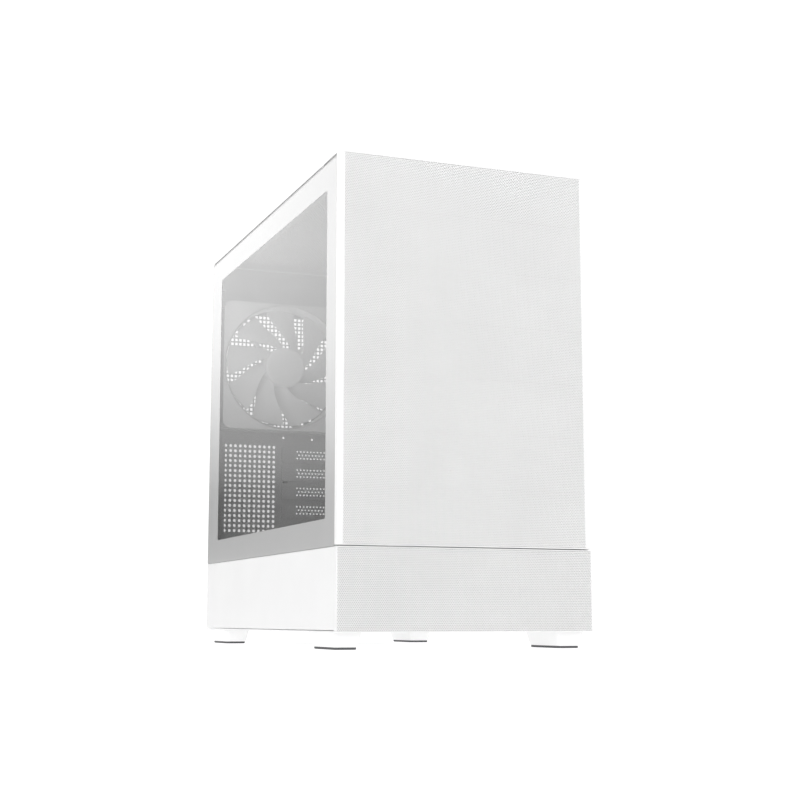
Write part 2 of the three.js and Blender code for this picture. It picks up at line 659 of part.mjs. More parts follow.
function rightPanel() {
  const along = [SIDE_FRONT, SIDE_REAR];
  const up = [SIDE_LOW, SIDE_HIGH];
  const face = block([WIDTH - SHEET, WIDTH], along, up);
  const fold = [WIDTH - 5, WIDTH];
  const lower = block(fold, along, [up[0], up[0] + SHEET]);
  const upper = block(fold, along, [up[1] - SHEET, up[1]]);
  const screwHoles = Object.values(SCREW_Z).map((z) => disc(SCREW_X[1], z, SCREW_HOLE));
  const flangeAt = [SIDE_REAR - SHEET, SIDE_REAR];
  const flange = sheet("y", flangeAt, rectangle([WIDTH - 17, WIDTH - 0.5], up), screwHoles, 4);
  return piece("right_panel", join(face, lower, upper, flange), whiteSteel());
}

function panelScrews() {
  const group = new THREE.Group();
  ["glass", "panel"].forEach((side, i) => {
    Object.entries(SCREW_Z).forEach(([end, z]) => {
      const at = { x: SCREW_X[i], z };
      group.add(thumbScrew(`${side}_screw_${end}`, at, DEPTH, DEPTH + KNOB_REACH, 424, 6.5));
    });
  });
  return group;
}

// The case.

const body = new THREE.Group();
body.position.set(-WIDTH / 2, -(DEPTH + KNOB_REACH) / 2, FOOT_HEIGHT);
body.add(baseFloor(), baseBand("base_band_left", 0, 1), baseBand("base_band_right", WIDTH, -1));
body.add(frontSkin("lower_front_mesh", [0, SEAM_LOW]), frontSkin("front_mesh", [SEAM_HIGH, HEIGHT]));
body.add(feet(), psuFilter(), frontFrame(), frontPanelFrame(), rearWall(), motherboardTray());
for (let i = 0; i < SLOT_COUNT; i += 1) body.add(slotCover(i));
body.add(slotClamp());
body.add(thumbScrew("slot_clamp_screw", CLAMP_SCREW, 430.2, 438, 427.2, 5.5));
body.add(psuShroud(), driveCage());
body.add(driveTray("drive_tray_lower", TRAY_FLOOR.lower), driveTray("drive_tray_upper", TRAY_FLOOR.upper));
body.add(ssdBracket("ssd_bracket_lower", BRACKET.low), ssdBracket("ssd_bracket_upper", BRACKET.high));
body.add(fanFrame(), fanRotor());
body.add(topPanel(), topFilter(), topControls());
body.add(glassPanel(), glassFrame(), rightPanel(), panelScrews());

const tower = new THREE.Group();
tower.add(body);

export default tower;
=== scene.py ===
"""Looks for a white micro-ATX computer case: perforated front over a perforated base band, glass
left side with a printed border, bare painted interior, one 140 mm rear fan, four slot covers.

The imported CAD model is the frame. Shapes are made in millimetres from the case's front lower left
corner (X right, Y back, Z up, the base's underside at 0). piece() puts them into the shared frame.
"""
import json
import math

import bmesh
import bpy
import numpy as np
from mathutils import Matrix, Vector
from mathutils.geometry import delaunay_2d_cdt


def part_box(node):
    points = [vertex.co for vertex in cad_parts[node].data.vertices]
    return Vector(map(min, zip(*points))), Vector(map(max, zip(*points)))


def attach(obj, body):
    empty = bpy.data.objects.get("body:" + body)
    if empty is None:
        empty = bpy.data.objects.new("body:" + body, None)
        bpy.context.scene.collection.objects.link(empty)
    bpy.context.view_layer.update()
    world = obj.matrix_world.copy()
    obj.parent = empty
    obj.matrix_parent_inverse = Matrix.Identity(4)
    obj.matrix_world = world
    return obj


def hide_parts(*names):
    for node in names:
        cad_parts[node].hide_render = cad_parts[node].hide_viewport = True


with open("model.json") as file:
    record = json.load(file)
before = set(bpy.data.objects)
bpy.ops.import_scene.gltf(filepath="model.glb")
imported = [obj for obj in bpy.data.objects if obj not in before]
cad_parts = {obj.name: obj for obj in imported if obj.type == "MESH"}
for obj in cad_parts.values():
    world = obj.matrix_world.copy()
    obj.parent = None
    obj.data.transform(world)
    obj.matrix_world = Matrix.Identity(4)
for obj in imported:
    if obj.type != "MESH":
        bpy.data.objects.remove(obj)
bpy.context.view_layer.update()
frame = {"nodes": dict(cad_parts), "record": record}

MM = 0.001
CORNER = Vector(
    (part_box("front_mesh")[0].x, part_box("front_mesh")[0].y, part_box("base_floor")[0].z)
)
BODY_OF = {
    node: body
    for body, nodes in frame["record"]["behaviour"]["bodies"].items()
    for node in nodes
}
SLOT_OF = {part["node"]: part["material_slot"] for part in frame["record"]["subparts"]}
LOOKS = {}


def span(node):
    """A CAD node's (low, high) along X, Y and Z, in millimetres from the case's corner."""
    low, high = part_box(node)
    return [((low[i] - CORNER[i]) / MM, (high[i] - CORNER[i]) / MM) for i in range(3)]


def middle(pair):
    return (pair[0] + pair[1]) / 2


def grown(pair, more):
    """A (low, high) pair made larger at both ends, or smaller where more is negative."""
    return pair[0] - more, pair[1] + more


def around(value, half):
    return value - half, value + half


def between(pair, share):
    return pair[0] + (pair[1] - pair[0]) * share


def new_object(name, data):
    ob = bpy.data.objects.new(name, data)
    bpy.context.scene.collection.objects.link(ob)
    return ob


def aim(ob, direction):
    """Turns a camera or lamp to look along a direction."""
    ob.rotation_mode = "QUATERNION"
    ob.rotation_quaternion = direction.to_track_quat("-Z", "Y")


# Camera: the photograph's, from the front left, 25 mm above the table and looking up a little.

CAMERA_FROM_CORNER = (-380.4, -1127.9, 10.9)  # millimetres
CAMERA_YAW = math.radians(21.11)
CAMERA_PITCH = math.radians(8.46)
CAMERA_LENS = 66.2
CAMERA_SENSOR = 36


def make_camera():
    data = bpy.data.cameras.new("camera")
    data.sensor_width = CAMERA_SENSOR
    data.lens = CAMERA_LENS
    camera = new_object("camera", data)
    camera.location = CORNER + Vector(CAMERA_FROM_CORNER) * MM
    level = math.cos(CAMERA_PITCH)
    forward = (math.sin(CAMERA_YAW) * level, math.cos(CAMERA_YAW) * level, math.sin(CAMERA_PITCH))
    aim(camera, Vector(forward))
    bpy.context.scene.camera = camera


# Nodes of the world and the materials.


def put(node, name, value):
    """Sets a node's input, or links it where the value is another node's output."""
    socket = node.inputs[name]
    if isinstance(value, bpy.types.NodeSocket):
        node.id_data.links.new(value, socket)
    else:
        socket.default_value = value


def add_node(tree, kind, **values):
    """A new node with its inputs put in by name, where _ stands for a space."""
    node = tree.nodes.new(kind)
    for name, value in values.items():
        put(node, name.replace("_", " "), value)
    return node


def product(tree, first, second):
    node = tree.nodes.new("ShaderNodeMath")
    node.operation = "MULTIPLY"
    put(node, 0, first)
    put(node, 1, second)
    return node.outputs[0]


def mixed(tree, factor, first, second, ending):
    """Two shaders mixed and led to the ending node's surface."""
    mix = tree.nodes.new("ShaderNodeMixShader")
    for i, source in enumerate((factor, first, second)):
        put(mix, i, source)
    add_node(tree, ending, Surface=mix.outputs[0])


# Light: a white studio whose walls are brightest a little above the horizon, and two soft boxes.

WHITE = (1, 1, 1, 1)
SKY = (  # (sine of height, light)
    (0.0, 0.9), (0.035, 0.4), (0.062, 0.1), (0.095, 0.4), (0.15, 1.3), (0.215, 1.95),
    (0.28, 2.1), (0.45, 0.88), (1.0, 0.6),
)
BACKDROP = 1.15  # light of the walls as the camera sees them
KEY_LAMP = {"at": (-1.2, -3.4, 1.7), "size": (1.8, 1.8), "power": 20}
SIDE_LAMP = {"at": (-3.0, 1.3, 1.6), "size": (1.8, 1.4), "power": 0.8}
LAMP_AIM = (0.0, 0.0, 0.2)
FLOOR_SIZE = 8.0
FLOOR_DROP = 0.0002  # keeps the floor's face apart from the pads' undersides
FLOOR_GREY = 0.5
FLOOR_GLOW = 0.7


def make_world():
    world = bpy.data.worlds.new("studio")
    bpy.context.scene.world = world
    world.use_nodes = True
    tree = world.node_tree
    tree.nodes.clear()
    coords = tree.nodes.new("ShaderNodeTexCoord")
    split = tree.nodes.new("ShaderNodeSeparateXYZ")
    put(split, 0, coords.outputs["Generated"])
    curve = add_node(tree, "ShaderNodeFloatCurve", Value=split.outputs["Z"])
    points = curve.mapping.curves[0].points
    top = max(light for _, light in SKY)
    while len(points) < len(SKY):
        points.new(0.5, 0.5)
    for point, (height, light) in zip(points, SKY):
        point.location = (height, light / top)
    curve.mapping.update()
    strength = product(tree, curve.outputs[0], top)
    sky = add_node(tree, "ShaderNodeBackground", Color=WHITE, Strength=strength)
    backdrop = add_node(tree, "ShaderNodeBackground", Color=WHITE, Strength=BACKDROP)
    seen = tree.nodes.new("ShaderNodeLightPath").outputs["Is Camera Ray"]
    mixed(tree, seen, sky.outputs[0], backdrop.outputs[0], "ShaderNodeOutputWorld")


def soft_box(name, at, size, power):
    data = bpy.data.lights.new(name, "AREA")
    data.shape = "RECTANGLE"
    data.size, data.size_y = size
    data.energy = power
    lamp = new_object(name, data)
    lamp.location = at
    aim(lamp, Vector(LAMP_AIM) - Vector(at))
    lamp.visible_camera = False
    lamp.visible_glossy = False


def make_lights():
    soft_box("key", **KEY_LAMP)
    soft_box("side", **SIDE_LAMP)


def make_floor():
    half = FLOOR_SIZE / 2
    mesh = bpy.data.meshes.new("studio_floor")
    corners = [(-half, -half, 0), (half, -half, 0), (half, half, 0), (-half, half, 0)]
    mesh.from_pydata(corners, [], [(0, 1, 2, 3)])
    floor = new_object("studio_floor", mesh)
    floor.location.z = -FLOOR_DROP
    _, shader = new_look("studio_paper")
    put(shader, "Base Color", (*grey(FLOOR_GREY), 1))
    put(shader, "Roughness", 0.9)
    put(shader, "Specular IOR Level", 0.0)
    put(shader, "Emission Color", WHITE)
    put(shader, "Emission Strength", FLOOR_GLOW)
    mesh.materials.append(LOOKS["studio_paper"])


# Materials. Each has its own grain, mottling and uneven gloss, at the object's real scale.

MOTTLE_SIZE = 60.0  # millimetres
GLASS_TINT = 0.80
GLASS_IOR = 1.5
GLASS_BLUR = 0.012  # roughness of its reflection


def grey(value):
    return value, value, value


def new_look(name, slot=None):
    """A new material's node tree and shader. It is kept in LOOKS under its slot or its name."""
    material = bpy.data.materials.new(name)
    material.use_nodes = True
    LOOKS[slot or name] = material
    return material.node_tree, material.node_tree.nodes["Principled BSDF"]


def noise(tree, size_mm, detail):
    """Noise whose features are about size_mm across."""
    coords = tree.nodes.new("ShaderNodeTexCoord").outputs["Object"]
    scale = 1 / (size_mm * MM)
    node = add_node(tree, "ShaderNodeTexNoise", Vector=coords, Scale=scale, Detail=detail)
    return node.outputs["Fac"]


def ramp(tree, source, low, high, out_low, out_high):
    """The source's range from low to high, spread over out_low to out_high."""
    ends = {"From_Min": low, "From_Max": high, "To_Min": out_low, "To_Max": out_high}
    return add_node(tree, "ShaderNodeMapRange", Value=source, **ends).outputs["Result"]


def blend_colours(tree, factor, first, second):
    node = tree.nodes.new("ShaderNodeMix")
    node.data_type = "RGBA"
    put(node, "A", (*first, 1))
    put(node, "B", (*second, 1))
    put(node, "Factor", factor)
    return node.outputs["Result"]


def bump(tree, height, strength, distance_mm):
    distance = distance_mm * MM
    node = add_node(tree, "ShaderNodeBump", Strength=strength, Distance=distance, Height=height)
    return node.outputs["Normal"]


def solid_look(name, colour, roughness, grain_mm, grain_depth, mottle=0.03, spread=0.08, coat=0.0):
    """A finish with grain (bump), soft mottling (colour) and uneven gloss (roughness)."""
    tree, shader = new_look(name)
    fine = noise(tree, grain_mm, 2.0)
    broad = ramp(tree, noise(tree, MOTTLE_SIZE, 3.0), 0.35, 0.65, 0.0, 1.0)
    darker = tuple(c * (1 - mottle) for c in colour)
    put(shader, "Base Color", blend_colours(tree, broad, darker, colour))
    put(shader, "Roughness", ramp(tree, fine, 0.3, 0.7, roughness - spread, roughness + spread))
    put(shader, "Normal", bump(tree, fine, 0.35, grain_depth))
    put(shader, "Coat Weight", coat)
    return tree, shader


def brushed_look(name, colour, roughness, stretch):
    """Bare metal with fine brushing along one axis."""
    tree, shader = new_look(name)
    coords = tree.nodes.new("ShaderNodeTexCoord").outputs["Object"]
    scaled = add_node(tree, "ShaderNodeMapping", Vector=coords, Scale=stretch).outputs[0]
    lines = add_node(tree, "ShaderNodeTexNoise", Vector=scaled, Scale=2500.0, Detail=3.0)
    streaks = lines.outputs["Fac"]
    darker = tuple(c * 0.82 for c in colour)
    put(shader, "Base Color", blend_colours(tree, streaks, darker, colour))
    put(shader, "Roughness", ramp(tree, streaks, 0.3, 0.7, roughness - 0.08, roughness + 0.1))
    put(shader, "Normal", bump(tree, streaks, 0.2, 0.02))
    put(shader, "Metallic", 1.0)


def board_look(name):
    """Green circuit board: solder mask over faint copper traces."""
    tree, shader = solid_look(name, (0.012, 0.11, 0.05), 0.35, 0.5, 0.01, mottle=0.2)
    coords = tree.nodes.new("ShaderNodeTexCoord").outputs["Object"]
    cells = add_node(tree, "ShaderNodeTexVoronoi", Scale=420.0)
    cells.feature = "DISTANCE_TO_EDGE"
    put(cells, "Vector", coords)
    trace = ramp(tree, cells.outputs["Distance"], 0.04, 0.08, 0.0, 1.0)
    put(shader, "Base Color", blend_colours(tree, trace, (0.03, 0.19, 0.08), (0.012, 0.10, 0.045)))


def glass_look(name):
    """Tempered glass: light passes straight through, and the outer faces mirror by Fresnel."""
    tree, _ = new_look(name, "glass")
    tree.nodes.clear()
    clear = add_node(tree, "ShaderNodeBsdfTransparent", Color=(*grey(GLASS_TINT), 1))
    mirror = add_node(tree, "ShaderNodeBsdfGlossy", Color=WHITE, Roughness=GLASS_BLUR)
    fresnel = add_node(tree, "ShaderNodeFresnel", IOR=GLASS_IOR)
    facing = tree.nodes.new("ShaderNodeNewGeometry")
    outside = ramp(tree, facing.outputs["Backfacing"], 0.0, 1.0, 1.0, 0.0)
    smear = ramp(tree, noise(tree, 90.0, 2.0), 0.3, 0.7, 0.96, 1.0)
    share = product(tree, product(tree, fresnel.outputs[0], outside), smear)
    mixed(tree, share, clear.outputs[0], mirror.outputs[0], "ShaderNodeOutputMaterial")


def make_looks():
    """Each finish: its colour, roughness, grain size and grain depth, and what else is its own."""
    solid_look("white_steel", grey(0.86), 0.42, 0.35, 0.03, mottle=0.02)
    # A darker copy of the white steel, for the rear wall, the slot covers and the standoff seats: its
    # lower grey is painted shade inside the case.
    solid_look("steel_painted_shade", grey(0.755), 0.45, 0.35, 0.03, mottle=0.02)
    solid_look("white_plastic", grey(0.86), 0.48, 0.6, 0.03)
    # A lighter copy of the white plastic for the feet: the extra white is painted light on their sides.
    solid_look("foot_plastic_painted_light", grey(0.94), 0.5, 0.6, 0.03)
    solid_look("fan_plastic", grey(0.89), 0.36, 0.9, 0.02)
    solid_look("grey_plastic", grey(0.52), 0.55, 0.5, 0.04)
    solid_look("black_plastic", (0.02, 0.02, 0.022), 0.45, 0.5, 0.02, mottle=0.2)
    solid_look("pad_rubber", (0.10, 0.10, 0.105), 0.8, 0.3, 0.06, mottle=0.15)
    solid_look("glass_print", grey(0.54), 0.08, 0.6, 0.001, mottle=0.02, spread=0.03)
    solid_look("filter_cloth", (0.42, 0.43, 0.44), 0.7, 0.25, 0.03, mottle=0.08)
    solid_look("dust_cloth", grey(0.6), 0.85, 0.3, 0.05, mottle=0.05)
    solid_look("light_pipe", (0.86, 0.88, 0.90), 0.2, 0.8, 0.01, coat=0.4)
    solid_look("glass_edge", (0.62, 0.68, 0.66), 0.3, 0.8, 0.01, coat=0.3)
    brushed_look("screw_steel", (0.78, 0.79, 0.80), 0.3, (1, 0.15, 1))
    brushed_look("socket_steel", (0.72, 0.73, 0.75), 0.25, (1, 1, 0.2))
    brushed_look("brass", (0.80, 0.60, 0.28), 0.3, (0.2, 1, 1))
    board_look("board_green")
    glass_look("tempered_glass")


# Shapes. A shape is (points, faces), points in millimetres from the case's corner.

AXES = {"x": (1, 2, 0), "y": (0, 2, 1), "z": (0, 1, 2)}  # first, second and through axis


def centre_of(node, axis):
    """The middle of a CAD node's box, in the axis's first two coordinates."""
    ranges, (first, second, _) = span(node), AXES[axis]
    return middle(ranges[first]), middle(ranges[second])


def lift(outline, axis, depth):
    """Points of an outline, drawn across an axis, at a depth along it."""
    first, second, through = AXES[axis]
    points = []
    for a, b in outline:
        point = [0.0, 0.0, 0.0]
        point[first], point[second], point[through] = a, b, depth
        points.append(tuple(point))
    return points


def join(*shapes):
    points, faces = [], []
    for more_points, more_faces in shapes:
        start = len(points)
        points.extend(more_points)
        faces.extend(tuple(i + start for i in face) for face in more_faces)
    return points, faces


def turned(shape, axis, centre, angle):
    """A shape turned about an axis through centre, given in the axis's own two coordinates."""
    first, second, _ = AXES[axis]
    cos, sin = math.cos(angle), math.sin(angle)
    points = []
    for point in shape[0]:
        moved = list(point)
        a, b = point[first] - centre[0], point[second] - centre[1]
        moved[first] = centre[0] + a * cos - b * sin
        moved[second] = centre[1] + a * sin + b * cos
        points.append(tuple(moved))
    return points, shape[1]


def polar(a, b, radius, angle):
    return a + radius * math.cos(angle), b + radius * math.sin(angle)


def circle(a, b, radius, sides):
    step = 2 * math.pi / sides
    return [polar(a, b, radius, i * step) for i in range(sides)]


def rectangle(a, b):
    return [(a[0], b[0]), (a[1], b[0]), (a[1], b[1]), (a[0], b[1])]


def rounded(a, b, corner, steps=4):
    """A rectangle with quarter-round corners, each of steps + 1 points."""
    points = []
    for i, (x, y) in enumerate(((a[1], b[0]), (a[1], b[1]), (a[0], b[1]), (a[0], b[0]))):
        cx = x - corner if x == a[1] else x + corner
        cy = y - corner if y == b[1] else y + corner
        for k in range(steps + 1):
            angle = (i - 1) * math.pi / 2 + k * math.pi / 2 / steps
            points.append(polar(cx, cy, corner, angle))
    return points


def cross(a, b, reach, half, turn):
    """A plus-shaped outline, for a driver recess."""
    arm = ((reach, -half), (reach, half), (half, half))
    points = []
    for quarter in range(4):
        angle = turn + quarter * math.pi / 2
        cos, sin = math.cos(angle), math.sin(angle)
        points.extend((a + x * cos - y * sin, b + x * sin + y * cos) for x, y in arm)
    return points


INSIDE_ONLY = 1  # the triangulation's kind of output
SAME_POINT = 1e-5


def slab(axis, low, high, outline, holes=()):
    """A flat sheet across an axis, from low to high, with holes through it."""
    points = [Vector(p) for p in outline]
    edges = [(i, (i + 1) % len(points)) for i in range(len(points))]
    insides = []
    for loop in holes:
        insides.append(tuple(range(len(points), len(points) + len(loop))))
        points.extend(Vector(p) for p in loop)
    found = delaunay_2d_cdt(points, edges, insides, INSIDE_ONLY, SAME_POINT)
    flat, faces, hole_of = [tuple(p) for p in found[0]], found[2], found[5]
    faces = [tuple(face) for face, owners in zip(faces, hole_of) if not owners]
    sides = {(face[i], face[(i + 1) % len(face)]) for face in faces for i in range(len(face))}
    rim = [(i, j) for i, j in sides if (j, i) not in sides]
    count = len(flat)
    far = [tuple(i + count for i in reversed(face)) for face in faces]
    walls = [(j, i, i + count, j + count) for i, j in sorted(rim)]
    return lift(flat, axis, low) + lift(flat, axis, high), faces + far + walls


def loft(rings, closed=False):
    """A skin through rings of equally many points. It is capped at its ends, or runs round."""
    count = len(rings[0])
    points = [point for ring in rings for point in ring]
    faces = []
    for r in range(len(rings) if closed else len(rings) - 1):
        lower, upper = r * count, (r + 1) % len(rings) * count
        for i in range(count):
            j = (i + 1) % count
            faces.append((lower + i, lower + j, upper + j, upper + i))
    if not closed:
        faces.append(tuple(reversed(range(count))))
        faces.append(tuple(range(len(points) - count, len(points))))
    return points, faces


SHARPEST_CORNER = 0.15


def border(axis, a, b, section, corner, steps=4):
    """A frame round the rectangle a by b. Its section is a loop of (inset in a, inset in b, depth)."""
    rings = []
    for u, v, depth in section:
        outline = rounded(grown(a, -u), grown(b, -v), max(corner - min(u, v), SHARPEST_CORNER), steps)
        rings.append(lift(outline, axis, depth))
    return loft(rings, closed=True)


def pad(axis, a, b, section, corner, steps=6):
    """A solid through rounded rectangles, given as (inset, depth) from one end to the other."""
    rings = []
    for inset, depth in section:
        outline = rounded(grown(a, -inset), grown(b, -inset), corner - inset / 2, steps)
        rings.append(lift(outline, axis, depth))
    return loft(rings)


def lathe(axis, centre, section, sides, closed=False):
    """A turned solid. Its section is (radius, depth) pairs from one end to the other, or a loop."""
    rings = [lift(circle(*centre, radius, sides), axis, depth) for radius, depth in section]
    return loft(rings, closed)


def block(x, y, z):
    return slab("z", z[0], z[1], rectangle(x, y))


def arc(radius, count):
    """A quarter bend as (inset, depth) pairs, from (radius, 0) to (0, radius)."""
    angles = [math.radians(90 * i / count) for i in range(count + 1)]
    return [(radius * (1 - math.sin(angle)), radius * (1 - math.cos(angle))) for angle in angles]


# Objects.

WELD = 2e-6  # metres between points that are made one
FLAT_ANGLE = math.radians(0.5)
BEVEL_ANGLE = math.radians(32)
SMOOTH_ANGLE = math.radians(38)


def finish_piece(ob, node, body=None, slot=None, look=None):
    """Gives a new object its material, by its look or its slot, hides the CAD node it stands for and
    attaches it to its body.

    The node says the body and the slot, unless they are given. Without a node the body is the chassis.
    """
    slot = slot or SLOT_OF.get(node)
    ob.data.materials.append(LOOKS[look or slot])
    if node:
        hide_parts(node)
    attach(ob, body or BODY_OF.get(node, "chassis"))


def clean(bm, bevel, segments):
    bmesh.ops.remove_doubles(bm, verts=bm.verts, dist=WELD)
    loose = [v for v in bm.verts if not v.link_faces]
    bmesh.ops.delete(bm, geom=loose, context="VERTS")
    bmesh.ops.recalc_face_normals(bm, faces=bm.faces)
    if bevel:
        bmesh.ops.dissolve_limit(bm, angle_limit=FLAT_ANGLE, verts=bm.verts, edges=bm.edges)
        sharp = [e for e in bm.edges if e.is_manifold and e.calc_face_angle() > BEVEL_ANGLE]
        bmesh.ops.bevel(
            bm, geom=sharp, offset=bevel * MM, segments=segments, profile=0.5, affect="EDGES",
            clamp_overlap=True,
        )


def shade(ob):
    """Smooth bends and bevels, with the large faces kept flat."""
    ob.data.shade_smooth()
    ob.data.set_sharp_from_angle(angle=SMOOTH_ANGLE)
    normals = ob.modifiers.new("flat_faces", "WEIGHTED_NORMAL")
    normals.keep_sharp = True
    normals.weight = 100


def softened(name, mesh, bevel, segments):
    """A new object from a mesh, cleaned, bevelled and smoothed."""
    bm = bmesh.new()
    bm.from_mesh(mesh)
    clean(bm, bevel, segments)
    bm.to_mesh(mesh)
    bm.free()
    ob = new_object(name, mesh)
    shade(ob)
    return ob


def piece(name, shape, node=None, body=None, slot=None, look=None, bevel=0.0, segments=2):
    """A new object from a shape."""
    mesh = bpy.data.meshes.new(name)
    points, faces = shape
    mesh.from_pydata([CORNER + Vector(p) * MM for p in points], [], faces)
    finish_piece(softened(name, mesh, bevel, segments), node, body, slot, look)


def refined(node, bevel, segments=2):
    """A piece with a CAD node's own shape and softened edges."""
    name = f"{node}_finished"
    mesh = frame["nodes"][node].data.copy()
    mesh.name = name
    mesh.materials.clear()
    finish_piece(softened(name, mesh, bevel, segments), node)


# Perforated sheet: six-sided holes in staggered rows, each hole in a cell of six border points.

CELL_ANGLES = np.radians([210, 270, 330, 30, 90, 150])
ROW_STEP = math.sqrt(3) / 2  # rows apart, as a share of the pitch
MOST_HOLES = 5300  # in one piece


def quad_mesh(name, points, quads):
    """A mesh of four-sided faces, with its points given in millimetres."""
    points = points * MM + np.array(CORNER)
    mesh = bpy.data.meshes.new(name)
    mesh.vertices.add(len(points))
    mesh.vertices.foreach_set("co", points.ravel())
    mesh.loops.add(quads.size)
    mesh.loops.foreach_set("vertex_index", quads.astype(np.int32).ravel())
    mesh.polygons.add(len(quads))
    mesh.polygons.foreach_set("loop_start", np.arange(0, quads.size, 4, dtype=np.int32))
    mesh.update(calc_edges=True)
    return mesh


def sheet_rim(line, rows, count):
    """The sheet's four narrow edges. Its near points are numbered first, its far ones from count."""
    across, up = np.arange(line - 1), np.arange(rows) * line
    top, right = across + rows * line, up + line - 1
    start = np.concatenate([across, top + 1, up + line, right])
    end = np.concatenate([across + 1, top, up, right + line])
    return np.stack([start, start + count, end + count, end], 1)


def perforated_mesh(name, axis, low_face, a, b, mesh):
    """A perforated sheet between a and b. The mesh says its holes' pitch and size and its thickness."""
    pitch = mesh["pitch"]
    columns = max(1, round((a[1] - a[0]) / pitch))
    rows = max(1, round((b[1] - b[0]) / (pitch * ROW_STEP)))
    step, rise = (a[1] - a[0]) / columns / 2, (b[1] - b[0]) / rows
    line = 2 * columns + 1
    grid = np.array([(a[0] + i * step, b[0] + j * rise) for j in range(rows + 1) for i in range(line)])
    row, start = np.repeat(np.arange(rows), columns), np.tile(np.arange(columns) * 2, rows)
    start = start + row % 2
    row, start = row[start + 2 < line], start[start + 2 < line]
    centres = np.stack([a[0] + step * (start + 1), b[0] + rise * (row + 0.5)], 1)
    ring = np.stack([np.cos(CELL_ANGLES), np.sin(CELL_ANGLES)], 1) * mesh["hole"] / 2
    flat = np.concatenate([grid, (centres[:, None] + ring).reshape(-1, 2)])
    low = row * line + start
    high = low + line
    outer = np.stack([low, low + 1, low + 2, high + 2, high + 1, high], 1)
    inner = len(grid) + np.arange(len(centres) * 6).reshape(-1, 6)
    outer_next, inner_next = np.roll(outer, -1, 1), np.roll(inner, -1, 1)
    cells = np.stack([outer, outer_next, inner_next, inner], 2).reshape(-1, 4)
    half_cells = np.array(  # at the ends of every second row
        [(r * line + e, r * line + e + 1, (r + 1) * line + e + 1, (r + 1) * line + e)
         for r in range(1, rows, 2) for e in (0, line - 2)]
    ).reshape(-1, 4)
    face = np.concatenate([cells, half_cells])
    count = len(flat)
    walls = np.stack([inner, inner_next, inner_next + count, inner + count], 2).reshape(-1, 4)
    quads = np.concatenate([face, face[:, ::-1] + count, walls, sheet_rim(line, rows, count)])
    if axis != "y":  # the faces are turned outwards
        quads = quads[:, ::-1]
    first, second, through = AXES[axis]
    points = np.zeros((2 * count, 3))
    points[:, first], points[:, second] = np.tile(flat[:, 0], 2), np.tile(flat[:, 1], 2)
    points[:count, through], points[count:, through] = low_face, low_face + mesh["thick"]
    return quad_mesh(name, points, quads)


def perforated_field(name, axis, low_face, a, b, mesh, body, slot, look=None):
    """A perforated sheet, in as many pieces one above the other as its number of holes asks for."""
    pairs = round((b[1] - b[0]) / (2 * mesh["pitch"] * ROW_STEP))
    holes = (a[1] - a[0]) / mesh["pitch"] * pairs * 2
    parts = math.ceil(holes / MOST_HOLES)
    cuts = [between(b, round(pairs * i / parts) / pairs) for i in range(parts + 1)]
    for i in range(parts):
        title = name if parts == 1 else f"{name}_{i + 1}"
        sheet = perforated_mesh(title, axis, low_face, a, (cuts[i], cuts[i + 1]), mesh)
        finish_piece(new_object(title, sheet), None, body, slot, look)


# Front skins.

SKIN = 1.0  # sheet thickness
BEND = 0.5  # outside bend radius
FRONT_MESH = {"pitch": 1.6, "hole": 1.0, "thick": 0.8}
BASE_MESH = {"pitch": 1.6, "hole": 1.06, "thick": 0.8}
FRONT_MARGIN = (5.5, 0.7)  # plain sheet beside and above the holes
BASE_MARGIN = (0.9, 0.7)
SKIN_CORNER = 0.9
SEAM_FILL = 0.35  # how far each skin's folded edge reaches into the CAD's gap
CLOTH = {"gap": 0.06, "thick": 0.24, "inset": 0.2, "corner": 1.0}


def front_skin(node, mesh, margin, reach):
    """A folded skin; reach is how far its lower and upper edges go beyond the CAD's box."""
    x, (front, back), z = span(node)
    z = (z[0] - reach[0], z[1] + reach[1])
    bend = [(u, u, front + t) for u, t in arc(BEND, 4)]
    section = [(*margin, front), *bend, (0, 0, back), (SKIN, SKIN, back), (SKIN, SKIN, front + SKIN)]
    section.append((*margin, front + SKIN))
    piece(f"{node}_rim", border("y", x, z, section, SKIN_CORNER), node)
    inside = grown(x, -margin[0]), grown(z, -margin[1])
    perforated_field(f"{node}_sheet", "y", front, *inside, mesh, BODY_OF[node], "white_steel")


def make_cloth(node):
    """The dust cloth close behind a skin."""
    x, y, z = span(node)
    near = y[0] + SKIN + CLOTH["gap"]
    inset = SKIN + CLOTH["inset"]
    outline = rounded(grown(x, -inset), grown(z, -inset), CLOTH["corner"])
    cloth = slab("y", near, near + CLOTH["thick"], outline)
    piece(f"{node}_cloth", cloth, body=BODY_OF[node], look="dust_cloth")


def make_front():
    front_skin("front_mesh", FRONT_MESH, FRONT_MARGIN, (SEAM_FILL, 0))
    front_skin("lower_front_mesh", BASE_MESH, BASE_MARGIN, (0, SEAM_FILL))
    make_cloth("front_mesh")
    make_cloth("lower_front_mesh")
    refined("front_panel_frame", 0.4)
    refined("front_frame", 0.3)


# Base and feet.

FOOT_CORNER = 5.0
PAD_CORNER = 2.2
PAD_COVERED = 0.5  # how far a foot's moulding comes down over its pad


